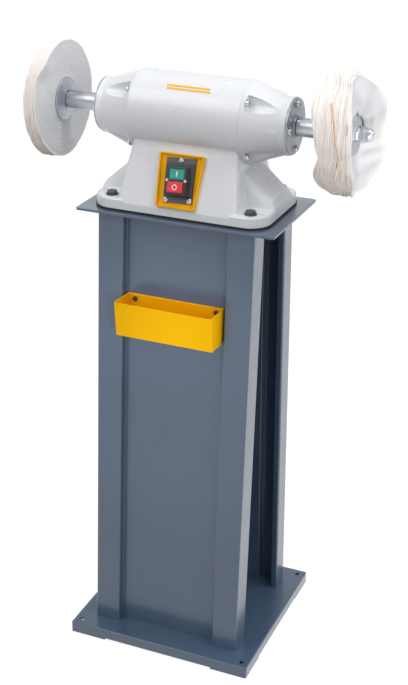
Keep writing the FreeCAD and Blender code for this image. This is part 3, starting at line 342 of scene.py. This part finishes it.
def cloth(name, face, edge, lower_rim_shade_tint, streak=900.0, yarn=0.10, rim_at=(0.0955, 0.0992)):
    """Plain cotton: weave, soft clouding, raw warm-coloured edges towards the rim, and painted shade: tan streaks and
    tint between the plies, low on the front of the rim.
    """
    m = Mat(name)
    v = m.coord()
    out = m.node("ShaderNodeVectorMath", operation="LENGTH")
    m.link(m.mapped((0, 1, 1), loc=(0, -AXIS_Y, -AXIS_Z)), out.inputs[0])
    rim = m.span(out.outputs["Value"], 0.0, 1.0, *rim_at)
    cloud = m.span(m.noise(v, 22.0, 4.0, 0.6), 0.0, 1.0, 0.3, 0.7)
    body = m.mix(cloud, tuple(c * 0.955 for c in face), face)
    ply_gap_shade_streaks = m.noise(m.mapped((streak, 7.0, 7.0)), 1.0, 3.0, 0.65)
    raw_edge_and_shade = m.mix(m.span(m.noise(v, 30.0, 3.0), 0.0, 1.0, 0.35, 0.7), edge, tuple(min(1.0, c * 1.03) for c in edge))
    # painted shade: low, the streaks and the tint below stand in for the shade between the plies, strongest low on
    # the front of the rim
    xyz = m.node("ShaderNodeSeparateXYZ")
    m.link(v, xyz.inputs[0])
    low = m.math("MULTIPLY", m.span(xyz.outputs["Z"], 1.0, 0.12, AXIS_Z - 0.10, AXIS_Z + 0.04), m.span(xyz.outputs["Y"], 1.0, 0.3, AXIS_Y - 0.06, AXIS_Y + 0.05))
    raw_edge_and_shade = m.mix(m.math("MULTIPLY", m.span(ply_gap_shade_streaks, 0.0, 0.9, 0.52, 0.70), low), raw_edge_and_shade, (lower_rim_shade_tint[0] * 0.88, lower_rim_shade_tint[1] * 0.78, lower_rim_shade_tint[2] * 0.68))
    raw_edge_and_shade = m.mix(m.math("MULTIPLY", low, 0.5), raw_edge_and_shade, lower_rim_shade_tint)
    col = m.mix(rim, body, raw_edge_and_shade)
    weave = m.math("MULTIPLY", m.wave(v, 560.0, direction="Y", dist=1.2), m.wave(v, 560.0, direction="Z", dist=1.2))
    fluff = m.noise(v, 340.0, 4.0, 0.65)
    col = m.mix(m.math("MULTIPLY", m.span(weave, 1.0, 0.0), yarn), col, tuple(c * 0.7 for c in edge))
    n = m.bump(weave, 0.0001, 0.5)
    n = m.bump(fluff, 0.0004, 0.35, n)
    m.set(Sheen_Weight=0.25, Sheen_Roughness=0.45, Specular_IOR_Level=0.25)
    return m.done(col, m.span(fluff, 0.88, 0.98), None, n)


def thread(name, base):
    """Twisted yarn."""
    m = Mat(name)
    v = m.coord()
    twist = m.wave(v, 700.0, direction="DIAGONAL", dist=2.0)
    col = m.mix(twist, tuple(c * 0.78 for c in base), base)
    m.set(Sheen_Weight=0.15, Specular_IOR_Level=0.3)
    return m.done(col, 0.85, None, m.bump(twist, 0.0001, 0.5))


def printed(name, base):
    """Printed or moulded-in mark: flat ink with a fine mottle."""
    m = Mat(name)
    v = m.coord()
    col = m.mix(m.span(m.noise(v, 300.0, 3.0), 0.0, 1.0, 0.3, 0.7), tuple(c * 0.95 for c in base), base)
    return m.done(col, m.span(m.noise(v, 500.0, 2.0), 0.3, 0.42), None, m.bump(m.noise(v, 1200.0, 2.0), 0.00001, 0.4))


# ------------------------------------------------------------------ cloth wheels
def loop(pairs):
    """Smooth closed curve through (degrees, value) pairs."""
    p = sorted(pairs)
    p = [(a - 360.0, v) for a, v in p[-2:]] + p + [(a + 360.0, v) for a, v in p[:2]]

    def at(deg):
        d = deg % 360.0
        i = 1
        while i < len(p) - 3 and d >= p[i + 1][0]:
            i += 1
        (a0, v0), (a1, v1), (a2, v2), (a3, v3) = p[i - 1:i + 3]
        h = a2 - a1
        t = (d - a1) / h
        m1, m2 = (v2 - v0) / (a2 - a0) * h, (v3 - v1) / (a3 - a1) * h
        return ((2 * t - 3) * t * t + 1) * v1 + ((t - 2) * t + 1) * t * m1 + (3 - 2 * t) * t * t * v2 + (t - 1) * t * t * m2
    return at


def hump(d, centre, width):
    """1 at the centre angle, falling smoothly to 0."""
    d = (d - centre + 180.0) % 360.0 - 180.0
    return math.exp(-(d / width) ** 2)


def sway(d, seed, f=1.0):
    """Seamless noise round the wheel, about -1 to 1."""
    a = math.radians(d)
    return 1.6 * noise.noise(Vector((math.cos(a) * f + 11.3, math.sin(a) * f - 4.7, seed * 3.71 + 0.5)))


def smooth(t):
    t = min(1.0, max(0.0, t))
    return t * t * (3 - 2 * t)


def ply_stack(name, sign, plies):
    """One mesh of closed plies; each is rows[ring][step] of (radius, inboard x, outboard x) in mm from the machine's middle."""
    verts, faces = [], []
    for rows in plies:
        n, rings, base = len(rows[0]), len(rows), len(verts)
        for side in (1, 2):
            for row in rows:
                for j, p in enumerate(row):
                    a = 2 * math.pi * j / n
                    verts.append((AXIS_X + sign * p[side] / 1000.0, AXIS_Y + p[0] * math.cos(a) / 1000.0, AXIS_Z + p[0] * math.sin(a) / 1000.0))

        def v(side, i, j):
            return base + side * rings * n + i * n + j % n
        for j in range(n):
            for i in range(rings - 1):
                faces.append((v(0, i, j), v(0, i, j + 1), v(0, i + 1, j + 1), v(0, i + 1, j)))
                faces.append((v(1, i, j), v(1, i + 1, j), v(1, i + 1, j + 1), v(1, i, j + 1)))
            faces.append((v(0, rings - 1, j), v(0, rings - 1, j + 1), v(1, rings - 1, j + 1), v(1, rings - 1, j)))
            faces.append((v(0, 0, j), v(1, 0, j), v(1, 0, j + 1), v(0, 0, j + 1)))
    return solid(name, verts, faces)


def solid(name, verts, faces, flat=False):
    me = bpy.data.meshes.new(name)
    me.from_pydata(verts, [], faces)
    bm = bmesh.new()
    bm.from_mesh(me)
    bmesh.ops.recalc_face_normals(bm, faces=bm.faces)
    for f in bm.faces:
        f.smooth = not flat
    bm.to_mesh(me)
    bm.free()
    ob = bpy.data.objects.new(name, me)
    bpy.context.scene.collection.objects.link(ob)
    return ob


def yarn(points, radius, sides=6, taper=True):
    """Closed tube along points, as (verts, faces)."""
    verts, faces = [], []
    n = len(points)
    for i, p in enumerate(points):
        d = (points[min(i + 1, n - 1)] - points[max(i - 1, 0)]).normalized()
        side = d.cross(Vector((1, 0, 0)) if abs(d.x) < 0.9 else Vector((0, 1, 0))).normalized()
        up = d.cross(side)
        r = radius * (0.35 if taper and i in (0, n - 1) else 1.0)
        for k in range(sides):
            a = 2 * math.pi * k / sides
            verts.append(p + side * (r * math.cos(a)) + up * (r * math.sin(a)))
    for i in range(n - 1):
        for k in range(sides):
            a, b = i * sides + k, i * sides + (k + 1) % sides
            faces.append((a, b, b + sides, a + sides))
    faces.append(tuple(range(sides)))
    faces.append(tuple(range((n - 1) * sides, n * sides)))
    return verts, faces


def gather(name, tubes):
    verts, faces = [], []
    for v, f in tubes:
        o = len(verts)
        verts += v
        faces += [tuple(i + o for i in q) for q in f]
    return solid(name, verts, faces)


def on_wheel(sign, x, r, deg):
    a = math.radians(deg)
    return Vector((AXIS_X + sign * x / 1000.0, AXIS_Y + r * math.cos(a) / 1000.0, AXIS_Z + r * math.sin(a) / 1000.0))


RINGS = [27.0 + 7.4 * i for i in range(1, 10)]       # radii of the sewing, mm


def sewn_wheel():
    """Left wheel: thirteen thick plies pressed flat and sewn in rings; the face sinks at each seam."""
    count, steps = 13, 180
    rnd = random.Random(41)
    lean = loop([(0, 1), (45, 1.5), (90, 1), (120, 0), (135, -0.5), (150, 7.2), (165, 6.2), (180, 5), (195, 4), (210, 2.8), (225, 0.3), (240, -0.6), (270, 0), (315, 1.2)])
    lean_out = loop([(0, 0.5), (45, 0.5), (90, 1.2), (120, 2), (135, 2.4), (150, 3), (165, 3.4), (180, 3), (195, 2), (210, 0.4), (225, 0), (255, -0.6), (300, 0)])
    part = [1.0 + rnd.uniform(-0.22, 0.22) for _ in range(count)]
    cut = [0.0]
    for w in part:
        cut.append(cut[-1] + w / sum(part))
    fine = [10.3, 24.0, 30.0, 33.0]
    r = 34.2
    while r < 97.6:
        fine.append(r)
        r += 1.24
    fine += [98.6, 99.5, 100.0]
    coarse = [10.3, 34.0, 45.0, 56.0, 68.0, 80.0, 90.0, 96.0, 98.8, 99.6, 100.0]

    def bounds(radius, d, k):
        """The two faces of ply k."""
        s = smooth((radius - 34.0) / 46.0)
        s2 = smooth((radius - 60.0) / 40.0)
        lo = 249.05 * (1 - s) + 247.6 * s + lean(d) * s2
        hi = 270.95 * (1 - s) + 273.0 * s + lean_out(d) * s2
        a, b = lo + (hi - lo) * cut[k], lo + (hi - lo) * cut[k + 1]
        g = 0.05 + 0.05 * s2 * (1 + sway(d, k + 30, 2.5))
        peel = hump(d, 232, 26) * smooth((radius - 80.0) / 18.0)
        if k == 0:
            b -= g + 0.7 * peel
            a += 0.15 * peel
        elif k == 1:
            a += g + 1.1 * peel
            b -= g
        else:
            a += g
            b -= g
        return a, b

    def quilt(radius, d, seed):
        """How far the sewn face sinks below its highest level."""
        if radius < 36 or radius > 97.8:
            return 0.0
        sink = 0.0
        for q, ring in enumerate(RINGS):
            w = 0.20 * sway(d, seed + q * 1.9, 3.0)
            sink += 0.48 * math.exp(-((radius - ring - w) / 1.6) ** 2) * (0.55 + 0.45 * sway(d, seed + q, 1.3) - 0.25 * math.sin(math.radians(d)))
        a = math.radians(d)
        soft = noise.noise(Vector((radius * 0.05 * math.cos(a) * 1.4, radius * 0.05 * math.sin(a) * 1.4, seed)))
        return sink + 0.45 + 0.75 * soft

    plies = []
    for k in range(count):
        radii = fine if k in (0, count - 1) else coarse
        rows = []
        worn = rnd.uniform(-0.5, 0.4) + (0.3 if k in (0, count - 1) else 0.0)
        for i, r0 in enumerate(radii):
            row = []
            for j in range(steps):
                d = 360.0 * j / steps
                edge = 99.5 + worn + 0.35 * sway(d, k * 1.3 + 5, 2.2) + 0.2 * sway(d, k * 2.3 + 9, 9.0) + 0.8 * sway(d, 77, 1.4) + 0.9 * sway(d, 55 + k * 0.08, 6.0) - 3.0 * hump(d, 78, 28) * k / 12.0
                radius = r0 if r0 < 34 else 34 + (r0 - 34) * (edge - 34) / 66.0
                a, b = bounds(radius, d, k)
                mid, half = (a + b) / 2, (b - a) / 2
                if r0 >= 100.0:
                    half *= 0.62
                elif r0 >= 99.4:
                    half *= 0.92
                a, b = mid - half, mid + half
                if k == 0:
                    a += quilt(radius, d, 3.0) * smooth((radius - 36) / 5.0)
                if k == count - 1:
                    b -= quilt(radius, d, 51.0) * smooth((radius - 36) / 5.0)
                row.append((radius, a, b))
            rows.append(row)
        plies.append(rows)
    wheel = ply_stack("sewn_wheel", -1, plies)

    tubes = []
    for face, k in ((0, 0), (1, count - 1)):
        for q, ring in enumerate(RINGS):
            if ring < 38:
                continue
            n = int(2 * math.pi * ring / 7.2)
            for i in range(n):
                d0 = 360.0 * (i + 0.13 * rnd.uniform(-1, 1)) / n
                span = 360.0 / n * 0.88
                pts = []
                for u, lift in ((0, -0.55), (0.2, 0.12), (0.5, 0.2), (0.8, 0.12), (1.0, -0.55)):
                    d = d0 + span * u
                    rr = ring + 0.20 * sway(d, (3.0, 51.0)[face] + q * 1.9, 3.0)
                    a, b = bounds(rr, d, k)
                    z = quilt(rr, d, (3.0, 51.0)[face])
                    x = a + z - lift if face == 0 else b - z + lift
                    pts.append(on_wheel(-1, x, rr, d))
                tubes.append(yarn(pts, 0.00034, 5))
    seam = gather("sewn_wheel_stitches", tubes)
    return wheel, seam, count


# where the outermost ply of the buff flops over its washer: ring -> (radius, x)
LAP = {36.0: (37.0, 273.9), 42.0: (36.0, 275.4), 50.0: (31.5, 275.45), 58.0: (27.5, 275.7), 66.0: (33.0, 278.6), 74.0: (46.0, 282.8), 82.0: (65.0, 283.4)}


def loose_buff():
    """Right wheel: thirty thin plies clamped at the hub and splayed towards the rim."""
    count, steps = 30, 168
    rnd = random.Random(12)
    near = loop([(0, -15), (30, -18), (60, -22), (90, -25), (105, -25), (120, -20), (135, -27), (150, -26), (165, -18), (180, -13), (190, -8), (195, -11), (210, -18), (225, -13), (240, -1), (270, -7), (300, -13), (330, -10)])
    far = loop([(0, 16), (15, 16), (30, 14), (45, 8), (60, 1), (75, -4), (90, -6), (105, -4), (120, 4), (135, 11), (150, 17), (165, 22), (180, 24), (195, 25), (210, 23), (225, 19), (240, 14), (255, 8), (270, 6), (285, 10), (300, 16), (315, 24), (330, 20), (345, 18)])
    rings = [10.3, 30.0, 36.0, 42.0, 50.0, 58.0, 66.0, 74.0, 82.0, 89.0, 94.5, 98.2, 99.4, 100.0]
    worn = [rnd.uniform(-1.2, 0.5) for _ in range(count)]
    bulk = [rnd.uniform(0.6, 1.5) for _ in range(count)]

    def shares(d):
        w = []
        for j in range(count):
            x = bulk[j] * math.exp(0.95 * sway(d, j * 1.7 + 2, 1.6) + 0.35 * sway(d, j * 0.9 + 60, 5.0))
            if j < 6:
                x *= 1.0 + 2.4 * hump(d, 128, 34)
            if j > count - 5:
                x *= 1.0 + 1.3 * hump(d, 330, 60) + 0.8 * hump(d, 190, 40)
            w.append(x)
        total, u = sum(w), [0.0]
        for x in w:
            u.append(u[-1] + x / total)
        return u

    def fold(d, t):
        """Folds of the outermost plies, outwards only."""
        r = 36 + 64 * t
        y, z = r * math.cos(math.radians(d)), r * math.sin(math.radians(d))
        low = smooth((y + 45) / 20.0) * smooth((12 - z) / 14.0) * smooth(t * 4)
        f = 7.0 * low * math.exp(-((z + 27 + 0.16 * y) / 8.5) ** 2)
        f += 4.5 * low * math.exp(-((z + 64 - 0.12 * y) / 8.0) ** 2)
        f += 7.0 * hump(d, 15, 17) * smooth(t * 1.3)
        f += 3.0 * hump(d, 62, 14) * smooth(t * 1.2)
        f += 3.5 * hump(d, 100, 9) * smooth(t)
        f += 4.0 * hump(d, 285, 8) * smooth(t)
        f += 3.0 * hump(d, 255, 9) * smooth(t)
        f += 2.6 * hump(d, 345, 7) * smooth(t * 1.4)
        f += 3.0 * hump(d, 215, 12) * smooth(t)
        return f

    table = []
    for j in range(steps):
        d = 360.0 * j / steps
        table.append((d, shares(d), near(d), far(d)))
    plies = []
    for k in range(count):
        rows = []
        for r0 in rings:
            row = []
            for d, u, lo, hi in table:
                edge = 100.0 + worn[k] + 0.7 * sway(d, k * 1.9 + 3, 2.0) + 0.5 * sway(d, k * 2.7 + 8, 8.0)
                edge -= 1.6 * hump(d, 190, 6) + 4.6 * hump(d, 101, 24)
                edge -= (11.0 * hump(d, 58, 22) + 3.0 * hump(d, 88, 16)) * smooth((k - count + 9) / 7.0)
                if k > count - 8:
                    edge -= 3.6 * hump(d, 272, 14)
                radius = r0 if r0 < 36 else 36 + (r0 - 36) * (edge - 36) / 64.0
                t = max(0.0, (r0 - 36.0) / 64.0)
                puff = hump(d, 132, 34)
                s = (1 - puff) * t ** 1.45 + puff * (0.45 * t ** 1.2 + 0.55 * math.sin(t * math.pi / 2) ** 1.2)
                xs = []
                for q in (k, k + 1):
                    x = (249.1 + 21.8 * q / count) * (1 - s) + (249.0 + lo + (22.0 + hi - lo) * u[q]) * s
                    outer = max(0.0, (q - (count - 4)) / 4.0)
                    x += outer * fold(d, t)
                    ripple = 1.5 * s * (1 + sway(d, 90, 3.0) * 0.5 + sway(d + 25 * t, 33, 4.0))
                    xs.append(x + 0.4 * ripple * outer)
                a, b = xs
                room = b - a
                open_ = max(0.0, sway(d, k * 3.1 + 17, 1.5) - 0.25) * (1 - 0.9 * puff) * (0.35 + hump(d, 185, 45))
                loosen = 0.35 * min(1.0, open_) * smooth((r0 - 90.0) / 6.0)
                thick = min(room - 0.05 - 0.05 * s, room * (1 - loosen))
                mid = (a + b) / 2
                if k == count - 1:
                    mid = b - thick / 2
                if k == 0:
                    mid = a + thick / 2
                half = thick / 2
                if r0 >= 100.0:
                    half *= 0.84
                elif r0 >= 99.0:
                    half *= 0.98
                if k == count - 1 and r0 in LAP:
                    over = smooth((hump(d, 42, 78) - 0.40) / 0.35)
                    lr, lx = LAP[r0]
                    radius += (lr - radius) * over
                    mid += (lx - mid) * over
                    half += (0.45 - half) * over
                row.append((radius, mid - half, mid + half))
            rows.append(row)
        plies.append(rows)
    buff = ply_stack("loose_buff", 1, plies)

    def trail(name, stops, r, radius):
        """Loose thread lying along the rim, from (x, degrees) stops."""
        pts = []
        for (xa, da), (xb, db) in zip(stops, stops[1:]):
            for i in range(6):
                u = i / 6.0
                d = da + (db - da) * u
                pts.append(on_wheel(1, xa + (xb - xa) * u + 0.3 * math.sin(d * 0.6), r + 0.35 * math.sin(d * 0.9), d))
        pts.append(on_wheel(1, stops[-1][0], r, stops[-1][1]))
        v, f = yarn(pts, radius, 7)
        return solid(name, v, f)
    orange = trail("orange_thread", [(252.1, 139.4), (256.7, 146.7), (263, 157.9), (267.2, 168), (270.4, 177.5), (274.3, 188.2), (272.4, 198.4)], 101.0, 0.0007)
    olive = trail("yellow_thread", [(282.7, 157.0), (284.4, 161.7), (285.8, 166.5)], 100.6, 0.0007)
    return buff, orange, olive, count


def wheels():
    # the last colour given to each cloth is the tint of its painted shade low on the front of the rim
    flat = cloth("sewn_cotton", (0.80, 0.80, 0.825), (0.96, 0.905, 0.865), (0.90, 0.80, 0.70))
    loose = cloth("loose_cotton", (0.865, 0.865, 0.885), (0.975, 0.925, 0.885), (0.93, 0.82, 0.73), 500.0, 0.04, (0.0905, 0.0945))
    linen = thread("sewing_thread", (0.84, 0.83, 0.81))
    wheel, seam, n = sewn_wheel()
    for ob, m in ((wheel, flat), (seam, linen)):
        ob.data.materials.append(m)
        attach(ob, "spindle")
    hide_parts("left_polishing_wheel")
    buff, orange, olive, n = loose_buff()
    for ob, m in ((buff, loose), (orange, thread("orange_yarn", (0.86, 0.44, 0.16))), (olive, thread("yellow_yarn", (0.72, 0.66, 0.18)))):
        ob.data.materials.append(m)
        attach(ob, "spindle")
    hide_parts("right_polishing_wheel")


# ------------------------------------------------------------------ marks
def at_switch(x, v, z):
    """Point of the turned switch, in mm across, up and out of the pedestal's face."""
    a = math.radians(SWITCH_TURN)
    x, v = x * math.cos(a) - (v - 26.2) * math.sin(a), 26.2 + x * math.sin(a) + (v - 26.2) * math.cos(a)
    b = math.atan2(1.0, FACE_TAN)
    return Vector((-1.5 + x, -69.5 + v * math.cos(b) - z * math.sin(b), 890.0 + v * math.sin(b) + z * math.cos(b))) / 1000.0


def raised_outline(name, outer, inner, top, height):
    """Thin raised mark between two outlines of the same number of points (inner may be None)."""
    rim = []
    for grow, z in ((0.0, top - 0.25), (0.0, top + height * 0.6), (-0.16, top + height)):
        def shift(p, c, g):
            d = math.hypot(p[0] - c[0], p[1] - c[1])
            return (p[0] + (p[0] - c[0]) / d * g, p[1] + (p[1] - c[1]) / d * g)
        c = (sum(p[0] for p in outer) / len(outer), sum(p[1] for p in outer) / len(outer))
        rim.append([shift(p, c, grow) + (z,) for p in outer])
        if inner:
            rim[-1] = (rim[-1], [shift(p, c, -grow) + (z,) for p in inner])
    verts, faces = [], []
    n = len(outer)
    if inner:
        order = [rim[0][0], rim[1][0], rim[2][0], rim[2][1], rim[1][1], rim[0][1]]
        for ring in order:
            verts += [at_switch(*p) for p in ring]
        for i in range(6):
            for j in range(n):
                a, b = i * n, ((i + 1) % 6) * n
                faces.append((a + j, a + (j + 1) % n, b + (j + 1) % n, b + j))
    else:
        for ring in rim:
            verts += [at_switch(*p) for p in ring]
        for i in range(2):
            for j in range(n):
                faces.append((i * n + j, i * n + (j + 1) % n, (i + 1) * n + (j + 1) % n, (i + 1) * n + j))
        faces.append(tuple(range(n)))
        faces.append(tuple(range(2 * n, 3 * n)))
    return solid(name, verts, faces)


def oval(cx, cy, rx, ry, n=40, power=2.0):
    pts = []
    for i in range(n):
        a = 2 * math.pi * i / n
        c, s = math.cos(a), math.sin(a)
        pts.append((cx + rx * math.copysign(abs(c) ** (2 / power), c), cy + ry * math.copysign(abs(s) ** (2 / power), s)))
    return pts


def marks():
    white = printed("mark_white", (0.88, 0.89, 0.89))
    bar = raised_outline("start_mark", oval(0.0, 2.75, 1.15, 4.3, 40, 8.0), None, 19.4, 0.22)
    ring = raised_outline("stop_mark", oval(0.0, -19.1, 4.5, 4.7), oval(0.0, -19.1, 3.0, 3.2), 24.0, 0.22)
    for ob, body, slot in ((bar, "start_button", "green_plastic"), (ring, "stop_button", "red_plastic")):
        ob.data.materials.append(white)
        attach(ob, body)
    ink = printed("stripe_yellow", (0.90, 0.50, 0.03))
    for n, (da, db) in enumerate(STRIPES):
        verts, faces = [], []
        cols, rows = 40, 6
        for r in (69.9, 70.12):
            for i in range(cols + 1):
                for j in range(rows + 1):
                    u, w = i / cols, j / rows
                    x = STRIPE_X[0] + (STRIPE_X[1] - STRIPE_X[0]) * u + 1.3 * (w - 0.5) + 1.9 * (n - 0.5)
                    a = math.radians(da + (db - da) * w)
                    verts.append((AXIS_X + x / 1000.0, AXIS_Y + r * math.cos(a) / 1000.0, AXIS_Z + r * math.sin(a) / 1000.0))
        m = (cols + 1) * (rows + 1)

        def v(s, i, j):
            return s * m + i * (rows + 1) + j
        for s in (0, 1):
            for i in range(cols):
                for j in range(rows):
                    faces.append((v(s, i, j), v(s, i + 1, j), v(s, i + 1, j + 1), v(s, i, j + 1)))
        for i in range(cols):
            faces.append((v(0, i, 0), v(0, i + 1, 0), v(1, i + 1, 0), v(1, i, 0)))
            faces.append((v(0, i, rows), v(0, i + 1, rows), v(1, i + 1, rows), v(1, i, rows)))
        for j in range(rows):
            faces.append((v(0, 0, j), v(0, 0, j + 1), v(1, 0, j + 1), v(1, 0, j)))
            faces.append((v(0, cols, j), v(0, cols, j + 1), v(1, cols, j + 1), v(1, cols, j)))
        ob = solid("barrel_stripe_%d" % (n + 1), verts, faces)
        ob.data.materials.append(ink)
        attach(ob, "stand")


# ------------------------------------------------------------------ materials on the CAD nodes
def assign(material, *names):
    for n in names:
        ob = NODES[n]
        ob.data.materials.clear()
        ob.data.materials.append(material)


def dress():
    stand = powder_coat("stand_powder_coat", (0.064, 0.106, 0.174), 0.36, coat=0.9, ior=1.5)
    tray = powder_coat("tray_powder_coat", (1.0, 0.515, 0.0), 0.5, vary=0.02, level=0.06)
    white = enamel("casting_enamel", (0.80, 0.81, 0.83))
    zinc = metal("zinc_plate", (0.66, 0.67, 0.70), 0.27)
    steel = metal("turned_steel", (0.58, 0.59, 0.645), 0.31, turned="X")
    # painted shade: the spindle is near black so the gaps at the sleeve ends read as shadow
    shaft = metal("shaft_dark_for_gap_shade", (0.10, 0.10, 0.11), 0.4, turned="X")
    face = metal("machined_cover", (0.40, 0.41, 0.44), 0.42)
    nut = metal("plated_nut", (0.72, 0.73, 0.76), 0.17)
    washer = metal("turned_washer", (0.50, 0.52, 0.57), 0.44, turned="X")
    bright = metal("bearing_steel", (0.62, 0.63, 0.65), 0.14)
    lamin = metal("core_sheet", (0.22, 0.22, 0.24), 0.42, turned="X", scale=3000)
    alu = metal("cast_aluminium", (0.66, 0.67, 0.68), 0.4)
    copper = metal("copper_winding", (0.60, 0.22, 0.10), 0.3)
    black = black_oxide("black_oxide_steel")
    pad = rubber("sheet_rubber")
    matt = plastic("black_moulding", (0.062, 0.060, 0.061), 0.34)
    plate = plastic("switch_plate_moulding", (0.115, 0.112, 0.122), 0.5)
    yellow = plastic("yellow_moulding", (1.0, 0.50, 0.0), 0.38, 0.00002, level=0.12)
    green = plastic("green_moulding", (0.02, 0.39, 0.29), 0.3, 0.00001, coat=0.2)
    red = plastic("red_moulding", (0.95, 0.035, 0.055), 0.3, 0.00001, coat=0.2)
    assign(stand, "base_pan", "stand_front_panel", "stand_rear_panel", "top_plate")
    assign(tray, "tool_tray")
    assign(white, "motor_housing", "left_end_bell", "right_end_bell")
    assign(zinc, "foot_bolts", "foot_nuts", "tray_nuts", "bell_screws", "bell_screw_washers", "cover_screws", "switch_plate_screws",
           "switch_front_screws", "capacitor_clamp", "bottom_cover")
    assign(nut, "left_spindle_nut", "right_spindle_nut")
    assign(shaft, "rotor_shaft")
    assign(steel, "left_spacer_sleeve", "right_spacer_sleeve")
    assign(washer, *[s + n for s in ("left_", "right_") for n in ("inner_flange", "outer_flange")])
    assign(face, "left_bearing_cover", "right_bearing_cover")
    assign(bright, "preload_spring", *[s + n for s in ("left_", "right_") for n in ("bearing_outer_ring", "bearing_inner_ring", "bearing_balls", "bearing_cage")])
    assign(lamin, "rotor_core", "stator_core")
    assign(alu, "rotor_cage", "capacitor")
    assign(copper, "stator_windings")
    assign(black, "machine_bolts", "machine_washers", "machine_nuts", "tray_screws", "bottom_cover_screws")
    assign(pad, "rubber_pad", "gland_seal")
    assign(matt, "switch_housing", "cable_gland", "gland_cap_nut", "terminal_block")
    assign(plate, "switch_plate")
    assign(yellow, "switch_bezel")
    assign(green, "start_button")
    assign(red, "stop_button")
    assign(pad, "left_polishing_wheel", "right_polishing_wheel")


def backdrop():
    """White dome behind everything, seen by the camera only."""
    bm = bmesh.new()
    bmesh.ops.create_icosphere(bm, subdivisions=4, radius=29.0)
    for f in bm.faces:
        f.normal_flip()
    me = bpy.data.meshes.new("backdrop")
    bm.to_mesh(me)
    bm.free()
    ob = bpy.data.objects.new("backdrop", me)
    bpy.context.scene.collection.objects.link(ob)
    ob.visible_diffuse = ob.visible_glossy = ob.visible_transmission = ob.visible_shadow = ob.visible_volume_scatter = False
    m = Mat("pale_backdrop")
    m.set(Emission_Color=(1, 1, 1, 1), Emission_Strength=0.97)
    me.materials.append(m.done((0.0, 0.0, 0.0), 1.0))


def floor():
    me = bpy.data.meshes.new("floor")
    s = 30.0
    me.from_pydata([(-s, -s, 0), (s, -s, 0), (s, s, 0), (-s, s, 0)], [], [(0, 1, 2, 3)])
    ob = bpy.data.objects.new("floor", me)
    bpy.context.scene.collection.objects.link(ob)
    ob.visible_diffuse = False
    m = Mat("pale_floor")
    m.set(Emission_Color=(1, 1, 1, 1), Emission_Strength=0.88)
    me.materials.append(m.done((0.2, 0.2, 0.2), 0.9))
    # painted shade: a black sheet under the pan stands in for the shadow inside it, seen through its holes and under
    # its skirt
    me = bpy.data.meshes.new("shade_under_pan")
    me.from_pydata([(-0.168, -0.151, 0.0004), (0.168, -0.151, 0.0004), (0.168, 0.151, 0.0004), (-0.168, 0.151, 0.0004)], [], [(0, 1, 2, 3)])
    ob = bpy.data.objects.new("shade_under_pan", me)
    bpy.context.scene.collection.objects.link(ob)
    me.materials.append(Mat("under_pan_painted_shade").done((0.01, 0.01, 0.01), 0.9))


camera()
studio()
floor()
backdrop()
dress()
wheels()
marks()
